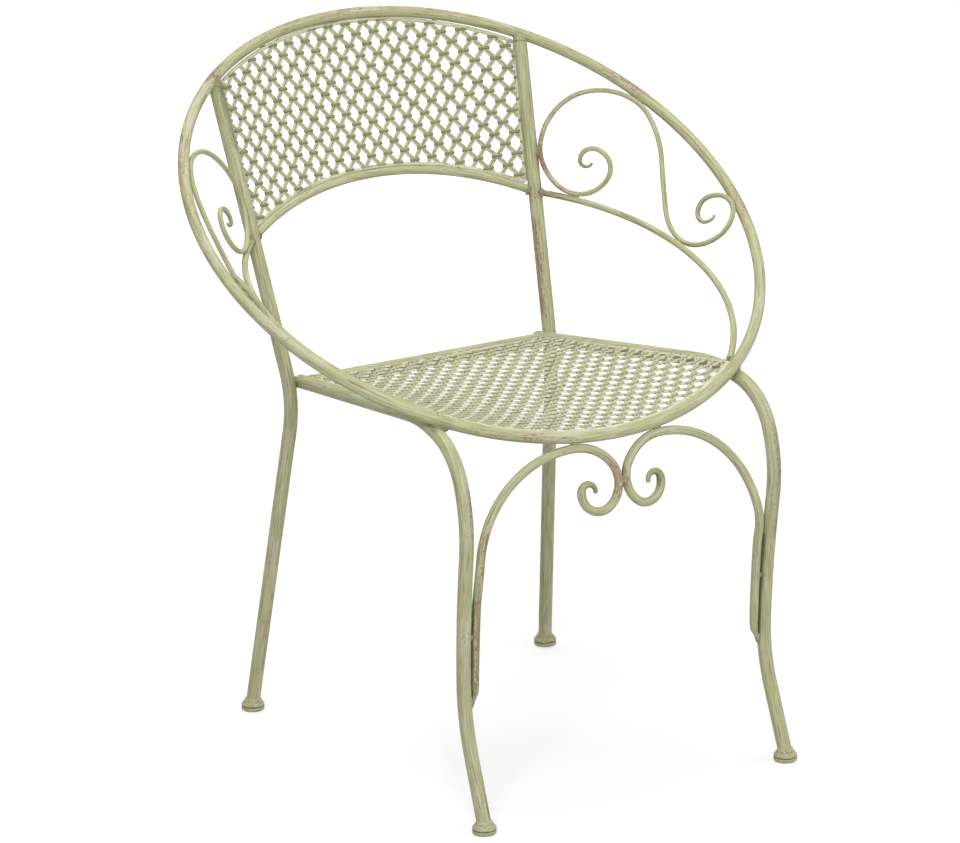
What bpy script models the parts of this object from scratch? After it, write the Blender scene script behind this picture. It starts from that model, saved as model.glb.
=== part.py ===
"""A round-backed garden armchair of bent steel tube and rod, painted pale green over brown.

One big tilted hoop is the top of the back, both arms and the front of the seat. Metres, +Z up.
The chair faces -Y. The origin is on the floor, under the middle of the chair.
"""

import math

import bmesh
import bpy
from mathutils import Matrix, Vector

# Clearance between pieces that are welded together
GAP = 0.0003

# Hoop: one flat ring of tube, low at the front and high at the back. Every other place, bend and
# tube is a share of its radius, so the chair keeps its form when the hoop changes.
HOOP_RADIUS = 0.3373
HOOP_TILT = math.radians(33.3)
HOOP_CENTRE_Y = 0.06018 * HOOP_RADIUS
HOOP_CENTRE_Z = 1.76846 * HOOP_RADIUS
HOOP_TUBE_RADIUS = 0.01927 * HOOP_RADIUS

# Bends are listed as (radius in thousandths of the hoop's radius, turn in degrees, ...)
BEND_UNIT = HOOP_RADIUS / 1000

# Legs: one tube size for all four
LEG_TUBE_RADIUS = 0.02372 * HOOP_RADIUS

# Back legs: foot, bend at seat height, then up to the hoop
BACK_FOOT_X = 0.60421 * HOOP_RADIUS
BACK_FOOT_Y = 0.60362 * HOOP_RADIUS
BACK_BEND_X = 0.51912 * HOOP_RADIUS
BACK_BEND_Y = 0.40379 * HOOP_RADIUS
BACK_BEND_Z = 1.13549 * HOOP_RADIUS
BACK_BEND_RADIUS = 0.44471 * HOOP_RADIUS
POST_HOOP_ANGLE = math.radians(142.4)

# Side rails run on into the front legs, each pair one bent tube
SIDE_RAIL_REAR_Z = 1.19449 * HOOP_RADIUS
SIDE_RAIL_OVERHANG = 0.001
SIDE_RAIL_RISE = math.radians(6.6)
SIDE_RAIL_SPLAY = math.radians(6.0)
SIDE_RAIL_LENGTH = 0.85117 * HOOP_RADIUS
KNEE_BENDS = ((554.40, 24.5, -1.0), (213.46, 53.3, -3.8), (480.28, 27.4, -2.2))
SHIN_BENDS = ((4026.09, -6.1, 0.0), (610.73, -22.6, 2.0))
ANKLE_LENGTH = 0.31130 * HOOP_RADIUS

# Rear seat rail between the side rails
REAR_RAIL_Y = 0.38245 * HOOP_RADIUS
REAR_RAIL_Z = 1.19923 * HOOP_RADIUS

# Foot pads
PAD_RADIUS = 0.0125
PAD_HEIGHT = 0.010
PAD_ROUND = 0.003
PAD_COLLAR_RADIUS = 0.0095
PAD_COLLAR_HEIGHT = 0.002

# Rods of the lower back arc and of the arms
ARC_ROD_RADIUS = 0.01482 * HOOP_RADIUS
ARC_JOINT_Z = 1.67507 * HOOP_RADIUS
ARC_MIDDLE_Y = 0.70709 * HOOP_RADIUS
ARC_MIDDLE_Z = 1.79366 * HOOP_RADIUS
ARM_ROD_RADIUS = 0.01097 * HOOP_RADIUS
ARM_JOINT_Z = 1.67507 * HOOP_RADIUS
ARM_MIDDLE = HOOP_RADIUS * Vector((0.81352, -0.00296, 1.53928))
ARM_END = HOOP_RADIUS * Vector((0.57278, -0.59443, 1.33264))

# Back panel: pressed lattice sheet in a wire rim, between the posts
SHEET_THICKNESS = 0.0016
RIM_WIRE_RADIUS = 0.0022
RIM_TO_HOOP = 0.02757 * HOOP_RADIUS
RIM_DROOP = 0.00652 * HOOP_RADIUS
RIM_TO_ARC = 0.02283 * HOOP_RADIUS
RIM_TO_POST = 0.03261 * HOOP_RADIUS
RIM_STEPS = 18
RIM_CORNER = (0.016, 0.0046, 0.0062, 0.021)
LATTICE_CLEARANCE = 0.0009
BACK_COLUMNS = 20
BACK_ROWS = 10
STRAND_SHARE = 0.27

# Seat panel: the same sheet, let in between the rails and resting on the front of the hoop
SEAT_HOOP_ANGLE = math.radians(34.5)
SEAT_COLUMNS = 16
SEAT_ROWS = 12
SEAT_LIFT = 0.0004
SEAT_FLANK = math.radians(45)
SEAT_EDGE_INSET = 0.9375 * LEG_TUBE_RADIUS
SEAT_EDGE_RISE = 0.625 * LEG_TUBE_RADIUS

# Front scrolls: a straight tail beside the leg, an arch under the hoop and a curl
SCROLL_ROD_RADIUS = 0.01482 * HOOP_RADIUS
SCROLL_TIP_SHARE = 0.5
TAIL_BOTTOM_Z = 0.40913 * HOOP_RADIUS
TAIL_LENGTH = 0.39016 * HOOP_RADIUS
TAIL_GAP = 0.0008
TAIL_CUT = math.radians(25)
ARCH_BENDS = (
    (407.65, 27.5), (380.37, 63.3), (161.28, 53.0), (97.54, 90.1), (62.85, 133.3), (26.09, 178.0),
)
ARCH_PLANE_Y = -0.98162 * HOOP_RADIUS
ARCH_PLANE_SIDE_SLOPE = 0.0781
ARCH_PLANE_RISE_SLOPE = 0.1636
ARCH_LEAVES_LEG_Z = 0.74118 * HOOP_RADIUS
ARCH_BLEND = 0.17788 * HOOP_RADIUS

# Side scrolls: flat S scrolls rolled round a leaning cone between the arm rod and the hoop.
# The cone stands on a level just over the hoop's centre.
SIDE_ROD_RADIUS = 0.00889 * HOOP_RADIUS
SIDE_START = (2.41921 * HOOP_RADIUS, -0.00563 * HOOP_RADIUS)
SIDE_HEADING = math.radians(-61.1)
SIDE_BENDS = (
    (22.53, 151.9), (45.36, 112.8), (76.79, 102.0), (119.77, 96.8), (160.09, 60.6), (289.65, 37.7),
    (174.62, 98.6), (574.56, 17.4), (866.29, -11.7), (183.81, -106.9), (73.82, -96.4), (109.40, -70.7),
    (46.25, -201.1), (11.86, -60.0),
)
CONE_BASE_SHARE = 0.01038
CONE_CENTRE_SHARE = -0.33412
CONE_RADIUS_SHARE = 1.02757
CONE_LEAN = -0.3975
CONE_FLARE = 0.6895
CONE_SHEAR = 0.34
CONE_SLOPE = 1.13

# Weld nub between the top of each scroll's tail and the leg
NUB_RADIUS = 0.0026
NUB_HEIGHT = 0.77676 * HOOP_RADIUS

# How finely round shapes are cut into flat faces
TUBE_SIDE_STEPS = 3
ROD_SIDE_STEPS = 2
HOOP_STEPS = 60
BEND_STEP = math.radians(12)
LONG_STEP = 0.06

PAINT = (0.48, 0.53, 0.29)
PAINT_SHADE = (0.42, 0.47, 0.25)


def clear_scene():
    """Remove whatever the scene holds."""
    for obj in list(bpy.data.objects):
        bpy.data.objects.remove(obj)


def paint(name, colour, roughness=0.55):
    """A plain painted-metal material."""
    material = bpy.data.materials.new(name)
    material.use_nodes = True
    shader = material.node_tree.nodes["Principled BSDF"]
    shader.inputs["Base Color"].default_value = (*colour, 1)
    shader.inputs["Roughness"].default_value = roughness
    shader.inputs["Metallic"].default_value = 0.0
    return material


def link(obj, name, colour=PAINT):
    """Put an object into the scene with its own name and paint."""
    bpy.context.scene.collection.objects.link(obj)
    obj.name = name
    obj.data.materials.append(paint(name + "_paint", colour))
    return obj


def mirrored(point, side):
    """The point on the +X side (side 1) or its mirror image on the -X side (side -1)."""
    return Vector((side * point[0], point[1], point[2]))


# Centrelines

def hoop_point(angle):
    """Point of the hoop's centreline, from its front (0) round by +X to the back (pi)."""
    reach = HOOP_RADIUS * math.cos(angle)
    return Vector((
        HOOP_RADIUS * math.sin(angle),
        HOOP_CENTRE_Y - reach * math.cos(HOOP_TILT),
        HOOP_CENTRE_Z - reach * math.sin(HOOP_TILT),
    ))


def hoop_normal():
    """Direction across the hoop's plane, upwards."""
    return Vector((0, -math.sin(HOOP_TILT), math.cos(HOOP_TILT)))


def round_corner(before, corner, after, radius):
    """Points of the arc that rounds one corner of a line."""
    to_before = (before - corner).normalized()
    to_after = (after - corner).normalized()
    turn = math.pi - to_before.angle(to_after)
    tangent = radius * math.tan(turn / 2)
    centre = corner + (to_before + to_after).normalized() * (radius / math.cos(turn / 2))
    start = corner + to_before * tangent - centre
    axis = (corner - before).cross(after - corner).normalized()
    count = max(2, math.ceil(turn / BEND_STEP))
    return [centre + Matrix.Rotation(turn * i / count, 3, axis) @ start for i in range(count + 1)]


def arc_through(first, middle, last):
    """Points of the circular arc through three points."""
    chord_a = middle - first
    chord_b = last - first
    axis = chord_a.cross(chord_b)
    offset = (axis.cross(chord_a) * chord_b.length_squared + chord_b.cross(axis) * chord_a.length_squared)
    centre = first + offset / (2 * axis.length_squared)
    start = first - centre
    axis.normalize()
    sweep = math.atan2(start.cross(last - centre).dot(axis), start.dot(last - centre)) % math.tau
    count = max(4, math.ceil(sweep / BEND_STEP))
    return [centre + Matrix.Rotation(sweep * i / count, 3, axis) @ start for i in range(count + 1)]


def step_count(radius, turn):
    """How many straight steps a bend is cut into."""
    long_steps = abs(turn) * radius / LONG_STEP
    return max(2, math.ceil(abs(turn) / BEND_STEP), math.ceil(long_steps))


def bent_line(start, heading, bends):
    """Flat line of joined arcs, each a (radius in bend units, turn in degrees, positive to the left)."""
    x, y = start
    points = [(x, y)]
    for radius_units, turn_degrees in bends:
        radius = radius_units * BEND_UNIT
        turn = math.radians(turn_degrees)
        count = step_count(radius, turn)
        step = turn / count
        chord = 2 * radius * math.sin(abs(step) / 2)
        for _ in range(count):
            x += chord * math.cos(heading + step / 2)
            y += chord * math.sin(heading + step / 2)
            heading += step
            points.append((x, y))
    return points


def back_leg_line():
    """Right back leg: floor, bend at the seat, hoop."""
    foot = Vector((BACK_FOOT_X, BACK_FOOT_Y, 0))
    bend = Vector((BACK_BEND_X, BACK_BEND_Y, BACK_BEND_Z))
    top = hoop_point(POST_HOOP_ANGLE)
    below = foot + (foot - bend) * 0.05
    return [below] + round_corner(foot, bend, top, BACK_BEND_RADIUS) + [top]


def point_at_height(points, height):
    """Where a line passes a height."""
    for low, high in zip(points, points[1:]):
        if min(low.z, high.z) <= height <= max(low.z, high.z):
            return low.lerp(high, (height - low.z) / (high.z - low.z))
    return min(points, key=lambda point: abs(point.z - height))


def front_leg_line():
    """Right side rail and front leg, from the back leg forwards, over the knee and down."""
    leg = point_at_height(back_leg_line(), SIDE_RAIL_REAR_Z)
    beside = leg.x - 2 * LEG_TUBE_RADIUS - GAP
    position = Vector((beside, leg.y + SIDE_RAIL_OVERHANG, SIDE_RAIL_REAR_Z))
    pitch = SIDE_RAIL_RISE
    splay = SIDE_RAIL_SPLAY
    points = [position.copy()]

    def advance(distance):
        level = Vector((0, -math.cos(pitch), math.sin(pitch))) * math.cos(splay)
        points.append(points[-1] + (level + Vector((math.sin(splay), 0, 0))) * distance)

    advance(SIDE_RAIL_LENGTH)
    for radius_units, down_degrees, out_degrees in KNEE_BENDS + SHIN_BENDS:
        radius = radius_units * BEND_UNIT
        down = math.radians(down_degrees)
        out = math.radians(out_degrees)
        count = step_count(radius, down)
        chord = 2 * radius * math.sin(abs(down) / count / 2)
        for _ in range(count):
            pitch -= down / count / 2
            splay += out / count / 2
            advance(chord)
            pitch -= down / count / 2
            splay += out / count / 2
    advance(ANKLE_LENGTH)
    return points


def arc_line():
    """Lower back arc from post to post."""
    joint = point_at_height(back_leg_line(), ARC_JOINT_Z)
    return arc_through(mirrored(joint, -1), Vector((0, ARC_MIDDLE_Y, ARC_MIDDLE_Z)), joint)


def arm_line():
    """Right arm rod from the post forwards and down to the hoop."""
    joint = point_at_height(back_leg_line(), ARM_JOINT_Z)
    return arc_through(joint, ARM_MIDDLE, ARM_END)


def front_scroll_line():
    """Right front scroll, from its tail beside the leg to the tip of its curl."""
    leg_points = front_leg_line()[2:]
    beside = point_at_height(leg_points, TAIL_BOTTOM_Z)
    x = beside.x - LEG_TUBE_RADIUS - SCROLL_ROD_RADIUS - TAIL_GAP
    flat = [(x, TAIL_BOTTOM_Z), (x, TAIL_BOTTOM_Z + TAIL_LENGTH / 2)]
    flat += bent_line((x, TAIL_BOTTOM_Z + TAIL_LENGTH), math.radians(90), ARCH_BENDS)
    points = []
    for x, z in flat:
        share = min(1.0, max(0.0, (z - ARCH_LEAVES_LEG_Z) / ARCH_BLEND))
        share = share * share * (3 - 2 * share)
        plane_y = ARCH_PLANE_Y + ARCH_PLANE_SIDE_SLOPE * x + ARCH_PLANE_RISE_SLOPE * z
        leg_y = point_at_height(leg_points, z).y
        points.append(Vector((x, leg_y * (1 - share) + plane_y * share, z)))
    return points


def on_cone(u, v):
    """Place a point of the flat side scroll on the leaning cone; u runs round it, v up it."""
    rise = v / CONE_SLOPE
    base_radius = CONE_RADIUS_SHARE * HOOP_RADIUS
    angle = (u + CONE_SHEAR * rise) / base_radius
    radius = base_radius + CONE_FLARE * rise
    centre_y = HOOP_CENTRE_Y + CONE_CENTRE_SHARE * HOOP_RADIUS + CONE_LEAN * rise
    base_z = HOOP_CENTRE_Z + CONE_BASE_SHARE * HOOP_RADIUS
    return Vector((radius * math.sin(angle), centre_y - radius * math.cos(angle), base_z + rise))


def side_scroll_line():
    """Right side scroll, from the tip of the big curl to the tip of the small one."""
    return [on_cone(u, v) for u, v in bent_line(SIDE_START, SIDE_HEADING, SIDE_BENDS)]


# Solids

def tube_mesh(name, points, radius, sides_step, closed=False, tip_shares=(1.0, 1.0), taper=0.0):
    """Mesh of a round rod along points; tip_shares thin its two ends over the taper length."""
    curve = bpy.data.curves.new(name + "_line", "CURVE")
    curve.dimensions = "3D"
    curve.bevel_depth = radius
    curve.bevel_resolution = sides_step
    curve.use_fill_caps = not closed
    spline = curve.splines.new("POLY")
    spline.points.add(len(points) - 1)
    spline.use_cyclic_u = closed
    travelled = [0.0]
    for a, b in zip(points, points[1:]):
        travelled.append(travelled[-1] + (b - a).length)
    for point, place, distance in zip(spline.points, points, travelled):
        point.co = (*place, 1)
        if taper:
            near_start = min(1.0, distance / taper)
            near_end = min(1.0, (travelled[-1] - distance) / taper)
            point.radius = (tip_shares[0] + (1 - tip_shares[0]) * near_start) * (
                tip_shares[1] + (1 - tip_shares[1]) * near_end)
    holder = bpy.data.objects.new(name + "_line", curve)
    bpy.context.scene.collection.objects.link(holder)
    graph = bpy.context.evaluated_depsgraph_get()
    mesh = bpy.data.meshes.new_from_object(holder.evaluated_get(graph))
    bpy.data.objects.remove(holder)
    close_ends(mesh)
    return mesh


def close_ends(mesh):
    """Merge the seams of a swept mesh and turn its faces outwards."""
    shape = bmesh.new()
    shape.from_mesh(mesh)
    bmesh.ops.remove_doubles(shape, verts=shape.verts, dist=1e-6)
    bmesh.ops.recalc_face_normals(shape, faces=shape.faces)
    shape.to_mesh(mesh)
    shape.free()
    mesh.shade_smooth()
    mesh.set_sharp_from_angle(angle=math.radians(40))


def slice_mesh(mesh, point, normal):
    """Cut away what lies on the side of a plane that the normal points to."""
    shape = bmesh.new()
    shape.from_mesh(mesh)
    geometry = shape.verts[:] + shape.edges[:] + shape.faces[:]
    bmesh.ops.bisect_plane(shape, geom=geometry, dist=1e-7, plane_co=point, plane_no=normal, clear_outer=True)
    bmesh.ops.holes_fill(shape, edges=[edge for edge in shape.edges if edge.is_boundary], sides=0)
    bmesh.ops.recalc_face_normals(shape, faces=shape.faces)
    shape.to_mesh(mesh)
    shape.free()


def rod(name, points, radius, sides_step=ROD_SIDE_STEPS, **options):
    """A named rod or tube along points."""
    return link(bpy.data.objects.new(name, tube_mesh(name, points, radius, sides_step, **options)), name)


def cutter(name, points, radius, sides_step=TUBE_SIDE_STEPS, closed=False):
    """A hidden fat copy of a tube, which shapes the ends that meet that tube."""
    mesh = tube_mesh(name, points, radius + GAP, sides_step, closed=closed)
    obj = bpy.data.objects.new(name, mesh)
    bpy.context.scene.collection.objects.link(obj)
    obj.hide_render = True
    obj.display_type = "WIRE"
    return obj


def cope(obj, *tools):
    """Shape an object's ends round the tubes that they meet."""
    for tool in tools:
        modifier = obj.modifiers.new("cope", "BOOLEAN")
        modifier.operation = "DIFFERENCE"
        modifier.solver = "EXACT"
        modifier.object = tool


def nub(name, first, last):
    """A short weld nub between two points."""
    return rod(name, [first, last], NUB_RADIUS, ROD_SIDE_STEPS)


def nub_between(name, from_point, from_radius, to_point, to_radius):
    """A weld nub that fills the space between two round rods."""
    along = (to_point - from_point).normalized()
    return nub(name, from_point + along * (from_radius + GAP), to_point - along * (to_radius + GAP))


def foot_pad(name, place):
    """A turned pad with a rounded edge and a low collar, under a leg."""
    shape = bmesh.new()
    profile = [(0, 0), (PAD_RADIUS - PAD_ROUND, 0)]
    for i in range(1, 4):
        angle = math.radians(-90 + 30 * i)
        across = PAD_RADIUS - PAD_ROUND + PAD_ROUND * math.cos(angle)
        profile.append((across, PAD_ROUND + PAD_ROUND * math.sin(angle)))
    shoulder = PAD_HEIGHT - PAD_COLLAR_HEIGHT
    profile += [(PAD_RADIUS, shoulder - PAD_ROUND / 2), (PAD_RADIUS - PAD_ROUND / 2, shoulder)]
    profile += [(PAD_COLLAR_RADIUS, shoulder), (PAD_COLLAR_RADIUS, PAD_HEIGHT), (0, PAD_HEIGHT)]
    verts = [shape.verts.new((x, 0, z)) for x, z in profile]
    edges = [shape.edges.new(pair) for pair in zip(verts, verts[1:])]
    bmesh.ops.spin(shape, geom=verts + edges, cent=(0, 0, 0), axis=(0, 0, 1), angle=math.tau,
                   steps=16, use_merge=True)
    bmesh.ops.remove_doubles(shape, verts=shape.verts, dist=1e-6)
    bmesh.ops.recalc_face_normals(shape, faces=shape.faces)
    mesh = bpy.data.meshes.new(name)
    shape.to_mesh(mesh)
    shape.free()
    mesh.shade_smooth()
    mesh.set_sharp_from_angle(angle=math.radians(40))
    obj = link(bpy.data.objects.new(name, mesh), name, PAINT_SHADE)
    obj.location = place
    return obj


def lattice_sheet(name, columns, rows, place):
    """A sheet of diamond gaps in staggered rows; place(s, t) gives each point for s in -1..1, t in 0..1."""
    shape = bmesh.new()
    made = {}

    def vert(i, j):
        key = (round(i, 4), round(j, 4))
        if key not in made:
            made[key] = shape.verts.new(place(2 * i / columns - 1, j / rows))
        return made[key]

    for i in range(columns + 1):
        for j in range(rows + 1):
            if (i + j) % 2 == 0:
                continue
            corners = [(i - 1, j), (i, j - 1), (i + 1, j), (i, j + 1)]
            inside = [(a, b) for a, b in corners if 0 <= a <= columns and 0 <= b <= rows]
            if len(inside) < 4:
                shape.faces.new([vert(a, b) for a, b in inside])
                continue
            share = 1 - STRAND_SHARE
            inner = [(i + (a - i) * share, j + (b - j) * share) for a, b in corners]
            for k in range(4):
                n = (k + 1) % 4
                shape.faces.new([vert(*corners[k]), vert(*corners[n]), vert(*inner[n]), vert(*inner[k])])
    bmesh.ops.recalc_face_normals(shape, faces=shape.faces)
    mesh = bpy.data.meshes.new(name)
    shape.to_mesh(mesh)
    shape.free()
    obj = link(bpy.data.objects.new(name, mesh), name, PAINT_SHADE)
    thicken = obj.modifiers.new("thickness", "SOLIDIFY")
    thicken.thickness = SHEET_THICKNESS
    thicken.offset = 0
    thicken.use_even_offset = False
    return obj


# Surfaces of the two panels

def arc_point(x):
    """Point of the lower back arc's circle at a distance x from the middle."""
    points = arc_line()
    for a, b in zip(points, points[1:]):
        if a.x <= x <= b.x:
            return a.lerp(b, (x - a.x) / (b.x - a.x))
    return points[-1] if x > 0 else points[0]


def back_surface(s, t, margin=0.0):
    """Point of the back panel: s runs -1..1 between the posts, t 0..1 from the arc to the hoop."""
    post_low = point_at_height(back_leg_line(), ARC_JOINT_Z)
    post_high = hoop_point(POST_HOOP_ANGLE)
    low = arc_point(s * (post_low.x - RIM_TO_POST - margin))
    reach = (post_high.x - RIM_TO_POST - margin) / HOOP_RADIUS
    high = hoop_point(math.pi - math.asin(s * reach))
    along = high - low
    first = (RIM_TO_ARC + margin) / along.length
    last = 1 - (RIM_TO_HOOP + RIM_DROOP * s * s + margin) / along.length
    return low + along * (first + (last - first) * t)


def back_lattice_point(s, t):
    """Point of the back panel's sheet, which fills its rim."""
    return back_surface(s, t, RIM_WIRE_RADIUS + LATTICE_CLEARANCE)


def side_rail_x(y):
    """Distance of the right side rail's centreline from the middle, at a depth y."""
    rear, front = front_leg_line()[:2]
    return rear.x + (front.x - rear.x) * (y - rear.y) / (front.y - rear.y)


def seat_surface(s, t):
    """Point of the seat panel: s runs -1..1 across, t 0..1 from the rear rail to the hoop."""
    clear = GAP + SEAT_LIFT + SHEET_THICKNESS / 2
    rear_x = side_rail_x(REAR_RAIL_Y) - SEAT_EDGE_INSET
    rear = Vector((s * rear_x, REAR_RAIL_Y - SEAT_EDGE_INSET, REAR_RAIL_Z + SEAT_EDGE_RISE))
    angle = s * SEAT_HOOP_ANGLE
    inwards = Vector((-math.sin(angle), math.cos(angle), 0)) * math.cos(SEAT_FLANK)
    flank = inwards + Vector((0, 0, math.sin(SEAT_FLANK)))
    front = hoop_point(angle) + flank * (HOOP_TUBE_RADIUS + clear)
    return rear.lerp(front, t)


# Pieces

def build_hoop():
    """The big ring."""
    points = [hoop_point(math.tau * i / HOOP_STEPS) for i in range(HOOP_STEPS)]
    rod("hoop", points, HOOP_TUBE_RADIUS, TUBE_SIDE_STEPS, closed=True)
    return cutter("hoop_cutter", points, HOOP_TUBE_RADIUS, closed=True)


def build_legs(side, label, hoop_cutter):
    """One side's back leg, rail with front leg, and foot pads."""
    back = [mirrored(point, side) for point in back_leg_line()]
    front = [mirrored(point, side) for point in front_leg_line()]
    floor = Vector((0, 0, PAD_HEIGHT + GAP))
    for name, points in (("back_leg_" + label, back), ("front_leg_" + label, front)):
        obj = rod(name, points, LEG_TUBE_RADIUS, TUBE_SIDE_STEPS)
        slice_mesh(obj.data, floor, Vector((0, 0, -1)))
        foot = point_at_height(points[:2] if points is back else points[-2:], PAD_HEIGHT)
        foot_pad(name.replace("leg", "foot_pad"), Vector((foot.x, foot.y, 0)))
    cope(bpy.data.objects["back_leg_" + label], hoop_cutter)
    back_cutter = cutter("back_leg_cutter_" + label, back, LEG_TUBE_RADIUS)
    front_cutter = cutter("front_leg_cutter_" + label, front, LEG_TUBE_RADIUS)
    return back_cutter, front_cutter


def build_rods(side, label, hoop_cutter, back_cutter):
    """One side's arm rod, front scroll and side scroll, with their weld nubs."""
    arm = rod("arm_rod_" + label, [mirrored(point, side) for point in arm_line()], ARM_ROD_RADIUS)
    cope(arm, hoop_cutter, back_cutter)
    front = [mirrored(point, side) for point in front_scroll_line()]
    front_rod = rod("front_scroll_" + label, front, SCROLL_ROD_RADIUS,
                    tip_shares=(1.0, SCROLL_TIP_SHARE), taper=0.03)
    cut = Vector((-side * math.sin(TAIL_CUT), 0, -math.cos(TAIL_CUT)))
    slice_mesh(front_rod.data, front[0] + Vector((side * SCROLL_ROD_RADIUS, 0, 0)), cut)
    rod("side_scroll_" + label, [mirrored(point, side) for point in side_scroll_line()], SIDE_ROD_RADIUS,
        tip_shares=(SCROLL_TIP_SHARE, SCROLL_TIP_SHARE), taper=0.03)


def build_front_nubs(side, label):
    """The short weld nub that holds one front scroll off its leg."""
    scroll = point_at_height(front_scroll_line()[:3], NUB_HEIGHT)
    leg = point_at_height(front_leg_line()[2:], NUB_HEIGHT)
    nub_between("front_scroll_nub_" + label, mirrored(scroll, side), SCROLL_ROD_RADIUS,
                mirrored(leg, side), LEG_TUBE_RADIUS)


def build_seat(cutters):
    """The rear rail and the lattice sheet of the seat."""
    rail_x = side_rail_x(REAR_RAIL_Y)
    ends = [Vector((side * rail_x, REAR_RAIL_Y, REAR_RAIL_Z)) for side in (-1, 1)]
    rail = rod("rear_seat_rail", ends, LEG_TUBE_RADIUS, TUBE_SIDE_STEPS)
    cope(rail, cutters["left"][1], cutters["right"][1])
    lattice_sheet("seat_panel", SEAT_COLUMNS, SEAT_ROWS, seat_surface)


def rim_line():
    """Closed wire round the back panel, with small rounded corners."""
    far_s, near_s, near_t, far_t = RIM_CORNER
    low = [(-1 + far_s + (2 - 2 * far_s) * i / RIM_STEPS, 0) for i in range(RIM_STEPS + 1)]
    right = [(1 - near_s, near_t), (1, far_t), (1, 1 - far_t), (1 - near_s, 1 - near_t)]
    high = [(-s, 1) for s, _ in low]
    left = [(-s, 1 - t) for s, t in right]
    return [back_surface(s, t) for s, t in low + right + high + left]


def build_back(cutters):
    """The lower arc, the lattice sheet of the back and its rim."""
    arc = rod("lower_back_arc", arc_line(), ARC_ROD_RADIUS)
    cope(arc, cutters["left"][0], cutters["right"][0])
    lattice_sheet("back_panel", BACK_COLUMNS, BACK_ROWS, back_lattice_point)
    rod("back_panel_rim", rim_line(), RIM_WIRE_RADIUS, closed=True)


def main():
    """Build every piece."""
    clear_scene()
    hoop_cutter = build_hoop()
    cutters = {}
    for side, label in ((-1, "left"), (1, "right")):
        cutters[label] = build_legs(side, label, hoop_cutter)
        build_rods(side, label, hoop_cutter, cutters[label][0])
        build_front_nubs(side, label)
    build_seat(cutters)
    build_back(cutters)


main()
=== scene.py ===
"""Looks of a round-backed garden armchair of bent steel tube and rod with pressed lattice panels.

The steel is painted pale green, brushed on thinly and rubbed through to the brown coat below it.
Metres, +Z up. The chair faces -Y and stands on the floor at z = 0.
"""

import logging
import math
from dataclasses import dataclass, field
from enum import Enum
from functools import cached_property
from typing import Callable, Sequence

import bmesh
import bpy
from mathutils import Matrix, Vector, noise


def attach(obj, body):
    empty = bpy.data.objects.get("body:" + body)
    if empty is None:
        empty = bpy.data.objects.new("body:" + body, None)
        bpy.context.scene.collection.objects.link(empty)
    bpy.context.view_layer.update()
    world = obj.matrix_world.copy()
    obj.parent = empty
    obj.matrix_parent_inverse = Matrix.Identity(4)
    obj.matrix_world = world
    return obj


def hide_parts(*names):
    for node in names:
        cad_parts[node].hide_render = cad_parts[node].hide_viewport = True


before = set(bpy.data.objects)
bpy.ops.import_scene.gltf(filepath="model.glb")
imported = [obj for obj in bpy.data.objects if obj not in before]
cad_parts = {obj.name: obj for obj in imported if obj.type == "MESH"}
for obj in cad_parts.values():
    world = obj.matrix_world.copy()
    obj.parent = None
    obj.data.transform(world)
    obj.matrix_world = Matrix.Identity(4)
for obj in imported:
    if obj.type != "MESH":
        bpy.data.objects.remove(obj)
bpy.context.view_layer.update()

log = logging.getLogger("armchair")

Mesh = bmesh.types.BMesh
Vert = bmesh.types.BMVert
Socket = bpy.types.NodeSocket

MM = 0.001
BODY = "root"
BEND_STEP = math.radians(5)  # a bend's steps turn by no more than this
LONG_STEP = 0.010            # and no step of a line is longer than this
TAPER = 0.030                # length over which a thinned end gets its full radius
UNDERSIDE_SHADE = 0.42             # painted shade on the underside of every rod
TOUCH_REACH = 0.06           # how far from its rough place a joint is looked for


class Side(Enum):
    """The sitter's two sides of the chair, each with the sign of its X."""

    LEFT = -1
    RIGHT = 1

    @property
    def label(self) -> str:
        """Name ending of this side's pieces."""
        return self.name.lower()

    def place(self, point: Vector) -> Vector:
        """A point of the right side, or its mirror image on the left."""
        return Vector((self.value * point.x, point.y, point.z))


class Slot(str, Enum):
    """Material slots."""

    TUBE = "tube_paint"
    LATTICE = "lattice_paint"
    FOOT = "foot_paint"


class RodEnd(Enum):
    """How a rod stops, as the place and width of its last rings in shares of its radius."""

    SUNK = ()
    CUT = ((0.04, 0.97), (0.12, 0.86))
    SAWN = ((0.35, 0.94), (0.5, 0.8))
    ROUND = ((0.3, 0.95), (0.55, 0.82), (0.75, 0.6), (0.85, 0.35))


# Lines

def at(x: float, y: float, z: float) -> Vector:
    """A place as a field's default."""
    return field(default_factory=lambda: Vector((x, y, z)))


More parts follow.
